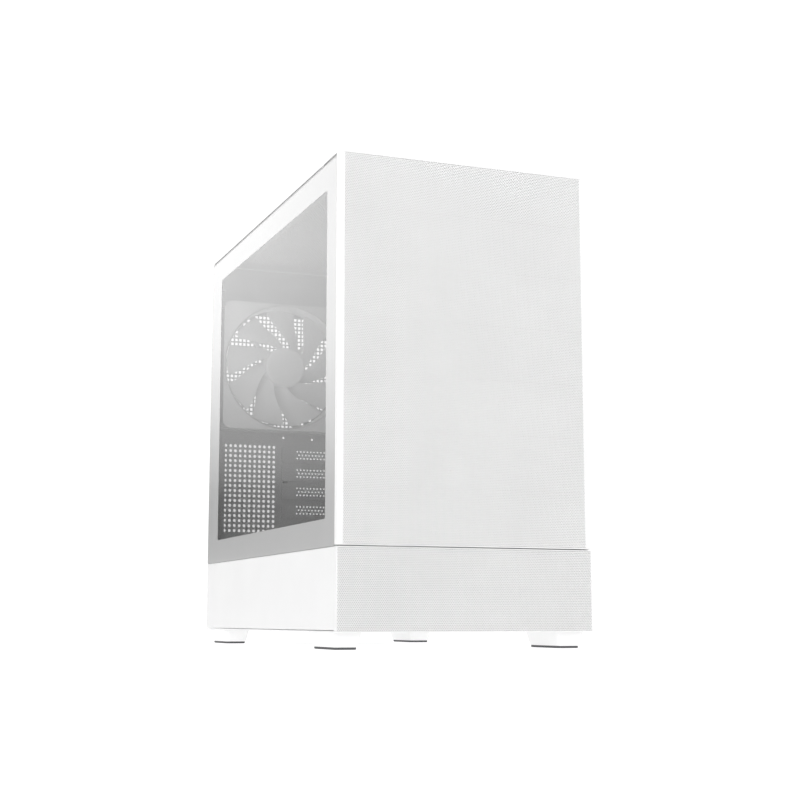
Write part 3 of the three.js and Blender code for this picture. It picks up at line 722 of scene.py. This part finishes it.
def make_foot(end, side):
    """A moulding that tapers down from the base's underside, and the rubber pad under it."""
    foot, rubber = f"foot_{end}_{side}", f"foot_pad_{end}_{side}"
    x, y, z = span(foot)
    taper = span(rubber)[0][0] - x[0] - 1
    rim, top = z[0] - PAD_COVERED, span("base_floor")[2][0]
    section = [(taper + 0.4, rim), (taper, rim + 0.4), (0.3, z[1] - 1.2), (0.0, z[1] - 0.4), (0.0, top)]
    # The moulding gets the lighter white plastic, whose extra white is painted light.
    piece(f"{foot}_moulding", pad("z", x, y, section, FOOT_CORNER), foot, look="foot_plastic_painted_light")
    x, y, z = span(rubber)
    section = [(0.4, z[0]), (0.1, z[0] + 0.15), (0.0, z[0] + 0.5), (0.0, z[1] - 0.3), (0.2, z[1])]
    piece(f"{rubber}_rubber", pad("z", x, y, section, PAD_CORNER), rubber)


def make_base():
    refined("base_floor", 0.25)
    refined("base_band_left", 0.5, 3)
    refined("base_band_right", 0.5, 3)
    for end in ("front", "rear"):
        for side in ("left", "right"):
            make_foot(end, side)


# Glass side.

PRINT_THICK = 0.1
GLASS_CORNER = 2.0
GLASS_GAP = 0.15  # to the skins
GLASS_BELOW_TOP = 1.75  # under the steel top's face
POLISH = 0.5  # its rounded edge
WINDOW_INSET = (24.0, 41.3, 23.2, 23.2)  # from the glass's front, rear, lower and upper edge
WINDOW_CORNER = 2.5
FRAME_BAND = (26.0, 18.0, 22.0, 16.0)  # the steel frame behind it, in the same order
FRAME_CORNER = 4.0
FRAME_SHEET = 1.0
FRAME_FLANGE = 1.2
THUMBSCREW_HOLE = 2.6  # radius
GLASS_SCREWS = ("glass_screw_lower", "glass_screw_upper")


def window_outline(y, z, inset, corner):
    front, rear, low, high = inset
    return rounded((y[0] + front, y[1] - rear), (z[0] + low, z[1] - high), corner, 5)


def make_glass_side():
    x, y, z = span("glass_panel")
    window = window_outline(y, z, WINDOW_INSET, WINDOW_CORNER)
    y = (span("front_mesh")[1][1] + GLASS_GAP, y[1])
    z = (span("lower_front_mesh")[2][1] + GLASS_GAP, span("top_panel")[2][1] - GLASS_BELOW_TOP)
    face = x[0] + PRINT_THICK
    section = [(POLISH, face), (0.15, face + 0.15), (0.0, face + POLISH), (0.0, x[1] - POLISH)]
    section += [(0.15, x[1] - 0.15), (POLISH, x[1])]
    piece("glass_pane", pad("x", y, z, section, GLASS_CORNER, steps=4), "glass_panel")
    outer = rounded(grown(y, -0.1), grown(z, -0.1), GLASS_CORNER - 0.1)
    printed = slab("x", x[0], face, outer, [window])
    piece("glass_border_print", printed, body="glass_side", look="glass_print")
    ground = [(0.03, 0.03, x[0] + 0.6), (0.03, 0.03, x[1] - 0.6)]
    ground += [(-0.06, -0.06, x[1] - 0.7), (-0.06, -0.06, x[0] + 0.7)]
    edge = border("x", y, z, ground, GLASS_CORNER)
    piece("glass_ground_edge", edge, body="glass_side", look="glass_edge")
    make_glass_frame()
    refined("right_panel", 0.4)


def make_glass_frame():
    x, y, z = span("glass_frame")
    opening = window_outline(y, z, FRAME_BAND, FRAME_CORNER)
    ring = slab("x", x[0], x[0] + FRAME_SHEET, rectangle(y, z), [opening])
    holes = [circle(*centre_of(name, "y"), THUMBSCREW_HOLE, 16) for name in GLASS_SCREWS]
    flange = slab("y", y[1] - FRAME_FLANGE, y[1], rectangle((x[0] + 0.02, x[1]), z), holes)
    piece("glass_frame_folded", join(ring, flange), "glass_frame", bevel=0.15, segments=1)


# Rear wall.

GRILLE = {"pitch": 4.5, "hole": 3.0, "corner": 0.3, "radius": 65.5}
VENT = {"pitch": 5.44, "hole": 3.15, "corner": 1.1, "left": 16.5, "top": 198.0}
VENT_COLUMNS, VENT_ROWS = 11, 18
FILTER_GATE = (36, 196)  # the power-supply filter slides out through it
GATE_TOP = 5.0
PORTS_OPENING = ((148, 193), (207, 366))
SUPPLY_OPENING = ((42, 184), (12, 88))
SUPPLY_SCREW_HEIGHTS = (22, 80)
SLOT_OPENING = {"across": (95.8, 189), "half": 6.5, "corner": 1.5}
SLOT_DOTS = {"pitch": 3.9, "row": 3.75, "radius": 1.0, "first": 97.7, "last": 187.5}
SPARE_HOLES = ((81.6, 209.0), (114.8, 208.3))
FAN_SCREW_INSET = 7.5
RIVETS = ((36, 388), (116, 388), (200, 388), (30, 98), (116, 98), (206, 98), (206, 200))
THUMBSCREWS = (*GLASS_SCREWS, "panel_screw_lower", "panel_screw_upper", "slot_clamp_screw")


def square(a, b, size, corner):
    return rounded(around(a, size / 2), around(b, size / 2), corner, 3)


def grille_holes(centre):
    reach = int(GRILLE["radius"] / GRILLE["pitch"])
    for i in range(-reach, reach + 1):
        for j in range(-reach, reach + 1):
            a, b = i * GRILLE["pitch"], j * GRILLE["pitch"]
            if math.hypot(a, b) + GRILLE["hole"] / 2 <= GRILLE["radius"] + 1:
                yield square(centre[0] + a, centre[1] + b, GRILLE["hole"], GRILLE["corner"])


def vent_holes():
    for i in range(VENT_COLUMNS):
        for j in range(VENT_ROWS):
            a, b = VENT["left"] + i * VENT["pitch"], VENT["top"] - j * VENT["pitch"]
            yield square(a, b, VENT["hole"], VENT["corner"])


def fan_corners():
    x, _, z = span("fan_frame")
    return [(a, b) for a in grown(x, -FAN_SCREW_INSET) for b in grown(z, -FAN_SCREW_INSET)]


def make_rear_wall():
    x, y, z = span("rear_wall")
    left, right = FILTER_GATE
    outline = [(x[0], z[0]), (left, z[0]), (left, GATE_TOP), (right, GATE_TOP), (right, z[0])]
    outline += [(x[1], z[0]), (x[1], z[1]), (x[0], z[1])]
    holes = [*grille_holes(centre_of("fan_frame", "y")), *vent_holes()]
    holes.append(rounded(*PORTS_OPENING, 1.0, 3))
    holes.append(rounded(*SUPPLY_OPENING, 2.0, 3))
    for i in range(4):
        up = around(middle(span(f"slot_cover_{i + 1}")[2]), SLOT_OPENING["half"])
        holes.append(rounded(SLOT_OPENING["across"], up, SLOT_OPENING["corner"], 3))
    holes += [circle(*place, 1.3, 12) for place in SPARE_HOLES]
    holes += [circle(*place, 2.1, 14) for place in fan_corners()]
    beside = grown(SUPPLY_OPENING[0], 3)
    holes += [circle(a, b, 1.9, 12) for a in beside for b in SUPPLY_SCREW_HEIGHTS]
    holes += [circle(*centre_of(name, "y"), THUMBSCREW_HOLE, 16) for name in THUMBSCREWS]
    # The wall gets the darker steel, whose grey is painted shade inside the case.
    piece("rear_wall_sheet", slab("y", *y, outline, holes), "rear_wall", look="steel_painted_shade")


def slot_dots(height):
    """Three rows of round holes, the middle one shifted by half a pitch."""
    for row in (-1, 0, 1):
        a = SLOT_DOTS["first"] + (SLOT_DOTS["pitch"] / 2 if row == 0 else 0)
        while a <= SLOT_DOTS["last"]:
            yield circle(a, height + row * SLOT_DOTS["row"], SLOT_DOTS["radius"], 10)
            a += SLOT_DOTS["pitch"]


def make_slot_covers():
    wall = span("rear_wall")[1][0]
    for i in range(4):
        x, y, z = span(f"slot_cover_{i + 1}")
        holes = list(slot_dots(middle(z)))
        cover = slab("y", y[0] + 0.4, wall - 0.02, rounded(x, z, 2.0, 5), holes)
        # The covers get the darker steel, whose grey is painted shade.
        piece(f"slot_cover_{i + 1}_sheet", cover, f"slot_cover_{i + 1}", look="steel_painted_shade")


GRIP_TEETH = 36
SHANK_RADIUS = 2.0
PAN_HEAD = {"radius": 2.9, "top": 0.86, "tall": 1.7}  # top: its flat's radius as a share


def knurled(centre, radius, low, high):
    """The gripping part of a thumbscrew: fine teeth between two turned chamfers."""
    profile = (  # what the chamfer and the teeth take off the radius, and the depth
        (0.9, 0.0, low), (0.0, 0.0, low + 0.8), (0.0, 0.35, low + 0.95),
        (0.0, 0.35, high - 0.95), (0.0, 0.0, high - 0.8), (0.9, 0.0, high),
    )
    rings = []
    for chamfer, tooth, depth in profile:
        outline = []
        for i in range(GRIP_TEETH * 2):
            r = radius - chamfer - (tooth if i % 2 else 0.0)
            angle = i * math.pi / GRIP_TEETH
            outline.append(polar(*centre, r, angle))
        rings.append(lift(outline, "y", depth))
    return loft(rings)


def half_disc(centre, radius, gap, side):
    """One side of a turned face with a driver slot through its middle."""
    start, count = math.asin(gap / radius), 16
    points = []
    for i in range(count + 1):
        angle = start + (math.pi - 2 * start) * i / count
        points.append(polar(*centre, radius, side * angle))
    return points if side > 0 else points[::-1]


def make_thumbscrew(name):
    x, y, _ = span(name)
    centre, radius = centre_of(name, "y"), (x[1] - x[0]) / 2
    tall = 7.8 if name == "slot_clamp_screw" else 6.0
    under, top = y[1] - tall, y[1] - 1.2
    section = [(SHANK_RADIUS - 0.5, y[0]), (SHANK_RADIUS, y[0] + 0.6), (SHANK_RADIUS, under + 0.5)]
    shank = lathe("y", centre, section, 20)
    face = [slab("y", top - 0.1, y[1], half_disc(centre, radius - 1.3, 0.6, side)) for side in (1, -1)]
    piece(f"{name}_turned", join(knurled(centre, radius, under, top), shank, *face), name)


def make_pan_screw(name, axis, centre, seat):
    """A small pan-head screw whose head stands on a face at seat."""
    radius, top = PAN_HEAD["radius"], PAN_HEAD["radius"] * PAN_HEAD["top"]
    dome = lathe(axis, centre, [(radius, seat), (radius, seat + 0.45), (top, seat + 0.8)], 24)
    recess = cross(*centre, radius * 0.5, radius * 0.14, 0.5)
    face = slab(axis, seat + 0.7, seat + PAN_HEAD["tall"], circle(*centre, top, 24), [recess])
    piece(name, join(dome, face), slot="screw_steel", bevel=0.12, segments=1)


def make_rear():
    make_rear_wall()
    make_slot_covers()
    refined("slot_clamp", 0.25)
    for name in THUMBSCREWS:
        make_thumbscrew(name)
    back = span("rear_wall")[1][1]
    section = [(2.2, back - 0.1), (2.1, back + 0.35), (1.5, back + 0.7), (0.6, back + 0.85)]
    rivets = join(*(lathe("y", place, section, 20) for place in RIVETS))
    piece("rear_wall_rivets", rivets, look="screw_steel")
    for i, centre in enumerate(fan_corners()):
        make_pan_screw(f"fan_mounting_screw_{i + 1}", "y", centre, back)


# Fan.

FAN_BORE = 66.5
FAN_FLARE = 68.4
FAN_PLATE = 4.0
FAN_CORNER = 9.0
FAN_POST = 5.2
FAN_SCREW_HOLE = 2.2
HUB = 22.0
BLADES = 9
BLADE_START = math.radians(14.7)
BLADE_SWEEP = math.radians(39)
BLADE_WIDTH = math.radians(31)
BLADE_ENDS = (20.5, 64.0)  # radii; the inner one is inside the hub
BLADE_DEEP = (15.0, 10.5)  # along the fan's axis, at the hub and at the tip
BLADE_CAMBER = 1.6
BLADE_THIN, BLADE_FAT = 0.35, 0.75
BLADE_RINGS, BLADE_POINTS = 12, 9


def make_fan_frame():
    x, y, z = span("fan_frame")
    front, rear = y
    centre, corners = centre_of("fan_frame", "y"), fan_corners()
    outline = rounded(x, z, FAN_CORNER, 8)
    bores = [circle(*place, FAN_SCREW_HOLE, 16) for place in corners]
    near = slab("y", front, front + FAN_PLATE, outline, [circle(*centre, FAN_FLARE, 96), *bores])
    far = slab("y", rear - FAN_PLATE, rear, outline, [circle(*centre, FAN_BORE, 96), *bores])
    section = [(FAN_FLARE, front), (FAN_BORE + 0.7, front + 1.8), (FAN_BORE, front + 4.5)]
    section += [(FAN_BORE, rear), (FAN_FLARE + 0.5, rear), (FAN_FLARE + 0.5, front)]
    duct = lathe("y", centre, section, 96, closed=True)
    section = [(FAN_POST, front + 3.5), (FAN_POST, rear - 3.5)]
    posts = [lathe("y", place, section, 20) for place in corners]
    section = [(HUB - 2, rear - 5), (HUB, rear - 4), (HUB + 1, rear - 3), (HUB + 1, rear)]
    seat = lathe("y", centre, section, 48)
    reach = centre[0] + HUB - 1, centre[0] + FAN_BORE + 0.5
    arm = slab("y", rear - 3, rear, rectangle(reach, around(centre[1], 2)))
    arms = [turned(arm, "y", centre, math.radians(degrees)) for degrees in (45, 135, 225, 315)]
    moulding = join(near, far, duct, *posts, seat, *arms)
    piece("fan_frame_moulding", moulding, "fan_frame", look="fan_plastic")
    section = [(4.2, front - 0.25), (4.6, front - 0.1), (4.6, front + 0.3)]
    for i, place in enumerate(corners):
        plug = lathe("y", place, section, 24)
        piece(f"fan_corner_pad_{i + 1}", plug, look="fan_plastic")


def blade(centre, start, mid_depth):
    """One swept, pitched and cambered blade, as a closed skin round its section at each radius."""
    rings = []
    for i in range(BLADE_RINGS):
        share = i / (BLADE_RINGS - 1)
        radius = between(BLADE_ENDS, share)
        sweep = BLADE_SWEEP * (1 - (1 - share) ** 2)
        width = BLADE_WIDTH * (1.12 - 0.12 * share)
        deep = between(BLADE_DEEP, share)
        ring = []
        for side, order in ((1, range(BLADE_POINTS)), (-1, reversed(range(BLADE_POINTS)))):
            for k in order:
                chord = k / (BLADE_POINTS - 1)
                angle = start + sweep + (chord - 0.5) * width
                camber = BLADE_CAMBER * math.sin(math.pi * chord)
                bulge = math.sin(math.pi * min(1.0, chord * 1.05 + 0.05)) ** 0.6
                thick = BLADE_THIN + BLADE_FAT * bulge
                depth = mid_depth - (chord - 0.5) * deep - camber + side * thick
                a, b = polar(*centre, radius, angle)
                ring.append((a, depth, b))
        rings.append(ring)
    return loft(rings)


def make_fan_rotor():
    front, rear = span("fan_rotor")[1]
    centre, middle_depth = centre_of("fan_frame", "y"), middle((front, rear))
    section = [(15.0, front + 0.5), (18.5, front), (20.6, front + 0.3), (21.7, front + 1.2)]
    section += [(HUB, front + 2.6), (HUB, rear - 0.6), (HUB - 0.6, rear)]
    hub = lathe("y", centre, section, 64)
    starts = [BLADE_START + i * 2 * math.pi / BLADES for i in range(BLADES)]
    blades = [blade(centre, start, middle_depth) for start in starts]
    piece("fan_rotor_moulding", join(hub, *blades), "fan_rotor", look="fan_plastic")


# Inside.

TRAY_SHEET = (203.0, 204.2)
TRAY_HOLES = (  # Y and Z
    ((275, 395), (240, 352)), ((36, 415), (8, 90)), ((150, 167), (120, 196)), ((150, 167), (214, 290)),
    ((150, 167), (308, 360)), ((320, 368), (373, 387)),
)
TRAY_CORNER = 5.0
BOARD_EDGE = {"rear": 427, "top": 374}
BOARD_HOLES = {"down": (6.35, 163.83, 209.55), "forward": (10.16, 165.1, 237.49)}
STANDOFF = {"radius": 3.1, "bore": 1.5, "tall": 8.0}
TIE_LOOPS = (
    (143.5, 210), (143.5, 300), (173.5, 140), (173.5, 205), (173.5, 300), (250, 366),
    (290, 366), (250, 110),
)
BRACKET_OFF_TRAY = 3.2  # from the tray to a drive bracket's outer face


def standoff_places():
    """The small board format's hole places, all but the one that it leaves out."""
    for down in BOARD_HOLES["down"]:
        for forward in BOARD_HOLES["forward"]:
            if (down, forward) != (BOARD_HOLES["down"][0], BOARD_HOLES["forward"][2]):
                yield BOARD_EDGE["rear"] - forward, BOARD_EDGE["top"] - down


def tie_loop(face, y, z):
    """A small bridge to pass a cable tie through."""
    legs = [block((face - 0.1, face + 2.2), around(y, 1.5), around(at, 0.6)) for at in around(z, 4)]
    return join(*legs, block((face + 1.4, face + 2.3), around(y, 1.5), around(z, 4.6)))


def make_tray():
    """The board's tray: a sheet with openings, hex standoffs on their seats, and cable-tie loops."""
    _, y, z = span("motherboard_tray")
    holes = [rounded(*opening, TRAY_CORNER, 5) for opening in TRAY_HOLES]
    sheet = slab("x", *TRAY_SHEET, rectangle(y, z), holes)
    piece("motherboard_tray_sheet", sheet, "motherboard_tray", bevel=0.15, segments=1)
    face = TRAY_SHEET[0]
    section = [(3.9, face - 0.7), (4.3, face - 0.3), (4.3, face + 0.2)]
    for i, place in enumerate(standoff_places()):
        outline, bore = circle(*place, STANDOFF["radius"], 6), circle(*place, STANDOFF["bore"], 16)
        shape = slab("x", face - STANDOFF["tall"], face, outline, [bore])
        seat = lathe("x", place, section, 24)
        piece(f"board_standoff_{i + 1}", shape, look="brass", bevel=0.2)
        # The seats get the darker steel, whose grey is painted shade.
        piece(f"board_standoff_{i + 1}_seat", seat, look="steel_painted_shade")
    loops = [tie_loop(TRAY_SHEET[1], *place) for place in TIE_LOOPS]
    piece("cable_tie_loops", join(*loops), look="white_steel", bevel=0.12, segments=1)


def make_grommets(tray):
    """Rubber rings in a drive tray's floor."""
    x, y, z = span(tray)
    low, high = z[0] + 2.4, z[0] + 3.2
    section = [(2.4, high), (4.6, high), (5.0, high - 0.3), (5.0, low), (2.4, low)]
    places = [(a, b) for a in (x[0] + 24, x[1] - 40) for b in grown(y, -14)]
    rings = [lathe("z", place, section, 24, closed=True) for place in places]
    piece(f"{tray}_grommets", join(*rings), body=BODY_OF[tray], look="pad_rubber")


def make_bracket_screws(bracket):
    _, y, z = span(bracket)
    plate = TRAY_SHEET[1] + BRACKET_OFF_TRAY
    for i, place in enumerate(((y[0] + 8, z[0] + 20), (y[1] - 8, z[1] - 20))):
        make_pan_screw(f"{bracket}_screw_{i + 1}", "x", place, plate)


def make_inside():
    make_tray()
    refined("psu_shroud", 0.25)
    refined("drive_cage", 0.25)
    for level in ("lower", "upper"):
        refined(f"drive_tray_{level}", 0.4)
        make_grommets(f"drive_tray_{level}")
        refined(f"ssd_bracket_{level}", 0.2)
        make_bracket_screws(f"ssd_bracket_{level}")


# Top.

FILTER_MESH = {"pitch": 3.2, "hole": 2.6, "thick": 0.5}
FILTER_CORNER = 4.0
RIB_HALF = 1.1
TOP_FIELD = ((30, 202), (70, 400))  # perforated part of the steel top, X and Y
TOP_SHEET = 1.2
TOP_MESH = {"pitch": 3.0, "hole": 2.0, "thick": TOP_SHEET}
FOLD_FRONT = 32
FOLD_INSET = 6.2  # from the base floor's sides
LIP = {"thick": 0.8, "covers": 1.5}


def framed_filter(node, rim, ribs, along=None, extras=()):
    """A thin frame with ribs across and one along it, any extra shapes, and a field of fine mesh."""
    x, y, z = span(node)
    y = along or y
    tall = z[1] - z[0]
    bend = [(u, u, z[1] - t) for u, t in arc(0.5, 3)]
    section = [(rim, rim, z[1]), *bend, (0, 0, z[0] + 0.2), (0.2, 0.2, z[0]), (rim, rim, z[0])]
    shapes = [border("z", x, y, section, FILTER_CORNER, steps=6)]
    inside_x, inside_y = grown(x, 1 - rim), grown(y, 1 - rim)
    low = z[0] + tall * 0.35
    for i in range(1, ribs + 1):
        at = between(y, i / (ribs + 1))
        shapes.append(block(inside_x, around(at, RIB_HALF), (low, z[1] - 0.1)))
    shapes.append(block(around(middle(x), RIB_HALF), inside_y, (low, z[1] - 0.12)))
    piece(f"{node}_frame", join(*shapes, *extras), node)
    perforated_field(
        f"{node}_mesh", "z", z[0] + tall * 0.4, inside_x, inside_y, FILTER_MESH,
        BODY_OF[node], "grey_plastic", "filter_cloth",
    )


def make_top_panel():
    """The steel top: a sheet with a field of holes, a well for the sockets and a fold at each side."""
    x, y, z = span("top_panel")
    low = z[1] - TOP_SHEET
    board_x, board_y, _ = span("io_board")
    depth = middle(board_y)
    well = rectangle((board_x[0] - 3, board_x[1] + 2.6), (depth - 7.4, depth + 7.6))
    plate = slab("z", low, z[1], rectangle(x, y), [rectangle(*TOP_FIELD), well])
    fold = (FOLD_FRONT, span("rear_wall")[1][0] - 2)
    left, right = grown(span("base_floor")[0], -FOLD_INSET)
    sides = (left, left + TOP_SHEET), (right - TOP_SHEET, right)
    folds = [block(side, fold, (z[0], low + 0.02)) for side in sides]
    piece("top_panel_sheet", join(plate, *folds), "top_panel")
    perforated_field(
        "top_panel_holes", "z", low, *TOP_FIELD, TOP_MESH, BODY_OF["top_panel"], "white_steel",
    )


def edge_lips(node):
    """Two thin lips that hang from a cover's long edges and hide the steel top's edge."""
    x, y, z = span(node)
    heights = span("top_panel")[2][1] - LIP["covers"], z[1] - 1.2
    sides = (x[0], x[0] + LIP["thick"]), (x[1] - LIP["thick"], x[1])
    return [block(side, grown(y, -0.1), heights) for side in sides]


# Control strip.

CONTROLS = {"power_button": 5.8, "reset_button": 2.8, "power_led": 1.4, "audio_jack": 3.9}  # radii
SOCKETS = {"usb_a_port_1": 0.5, "usb_a_port_2": 0.5, "usb_c_port": 1.6}  # corner radii
PLAY = 0.35  # gap round each control
SOCKET_WALL = 0.4
JACK_BORE = 1.8


def make_bezel():
    """The strip on the top: a plate with an opening for each control, and lips over the steel top."""
    x, y, z = span("io_bezel")
    holes = [circle(*centre_of(node, "z"), radius + PLAY, 48) for node, radius in CONTROLS.items()]
    for node, corner in SOCKETS.items():
        across, along, _ = span(node)
        holes.append(rounded(grown(across, PLAY), grown(along, PLAY), corner + PLAY, 5))
    plate = slab("z", span("top_filter")[2][0], z[1], rounded(x, y, 0.8, 3), holes)
    piece("io_bezel_plate", plate, "io_bezel", bevel=0.2)
    lips = join(*edge_lips("io_bezel"))
    piece("io_bezel_lips", lips, slot=SLOT_OF["io_bezel"], look="grey_plastic")


def make_cap(node, dish):
    """A round control with a collar under the strip and a softly dished top."""
    x, _, z = span(node)
    radius, collar, top = CONTROLS[node], (x[1] - x[0]) / 2, z[1]
    section = [(collar, z[0]), (collar, z[0] + 1), (radius, z[0] + 1.01), (radius, top - 0.4)]
    section += [(radius * 0.97, top - 0.15), (radius * 0.9, top)]
    dished = [(share, dish * (1 - (share / 0.9) ** 2)) for share in (0.7, 0.45, 0.2, 0.03)]
    section += [(radius * share, top - deep) for share, deep in dished]
    piece(f"{node}_cap", lathe("z", centre_of(node, "z"), section, 64), node)


def make_jack():
    """A round socket with a gilt spring ring in its bore."""
    (low, top), radius = span("audio_jack")[2], CONTROLS["audio_jack"]
    section = [(JACK_BORE, low), (radius, low), (radius, top - 0.4), (radius - 0.3, top)]
    section += [(JACK_BORE + 0.7, top), (JACK_BORE, top - 0.5)]
    centre = centre_of("audio_jack", "z")
    piece("audio_jack_body", lathe("z", centre, section, 48, closed=True), "audio_jack")
    inner, outer = JACK_BORE - 0.05, JACK_BORE + 0.1
    section = [(inner, top - 3), (outer, top - 3), (outer, top - 1.2), (inner, top - 1.2)]
    spring = lathe("z", centre, section, 48, closed=True)
    piece("audio_jack_spring", spring, body=BODY_OF["audio_jack"], look="brass")


def make_socket(node, corner):
    """A socket: its folded shell, its tongue and floor, and four gilt contacts."""
    x, y, z = span(node)
    small = node == "usb_c_port"
    wide, thick = x[1] - x[0], 0.9 if small else 1.7
    inner_corner = max(corner - SOCKET_WALL, SHARPEST_CORNER)
    inside = rounded(grown(x, -SOCKET_WALL), grown(y, -SOCKET_WALL), inner_corner, 5)
    shell = slab("z", z[0], z[1], rounded(x, y, corner, 5), [inside])
    piece(f"{node}_shell", shell, node, bevel=0.08, segments=1)
    at = middle(y) + (0 if small else 0.6)
    low, high = z[1] - 6.5, z[1] - 1.2
    sides = grown(x, -wide * 0.16)
    floor = slab("z", z[0] + 0.5, low + 0.1, rounded(grown(x, -0.3), grown(y, -0.3), corner * 0.8, 5))
    tongue = block(sides, around(at, thick / 2), (low, high))
    piece(f"{node}_tongue", join(floor, tongue), body=BODY_OF[node], look="black_plastic")
    contacts = []
    for i in range(4):
        across = around(between(sides, (i + 0.5) / 4), wide * 0.045)
        contacts.append(block(across, (at - thick / 2 - 0.06, at), grown((low, high), -0.5)))
    piece(f"{node}_contacts", join(*contacts), body=BODY_OF[node], look="brass")


def make_top():
    make_top_panel()
    framed_filter("top_filter", 7.0, 3, extras=edge_lips("top_filter"))
    make_bezel()
    refined("io_board", 0.2)
    for node, corner in SOCKETS.items():
        make_socket(node, corner)
    make_jack()
    make_cap("power_led", 0.05)
    make_cap("power_button", 0.35)
    make_cap("reset_button", 0.25)


FILTER_TAB = (100, 132)  # the power-supply filter's pull tab, X
FILTER_TAB_DEEP = 7.6
RIDGE_STEP = 1.6


def make_psu_filter():
    _, y, z = span("psu_filter")
    end = y[1] - FILTER_TAB_DEEP
    shapes = [block(FILTER_TAB, (end - 1, y[1]), (z[0], z[1] - 0.2))]
    for i in (1, 2, 3):
        at = end + RIDGE_STEP * i
        shapes.append(block(grown(FILTER_TAB, -4), (at, at + 0.7), (z[1] - 0.3, z[1])))
    framed_filter("psu_filter", 6.0, 2, (y[0], end), shapes)


make_camera()
make_world()
make_lights()
make_floor()
make_looks()
make_front()
make_base()
make_glass_side()
make_rear()
make_fan_frame()
make_fan_rotor()
make_inside()
make_top()
make_psu_filter()

bpy.context.scene.view_settings.view_transform = "Standard"
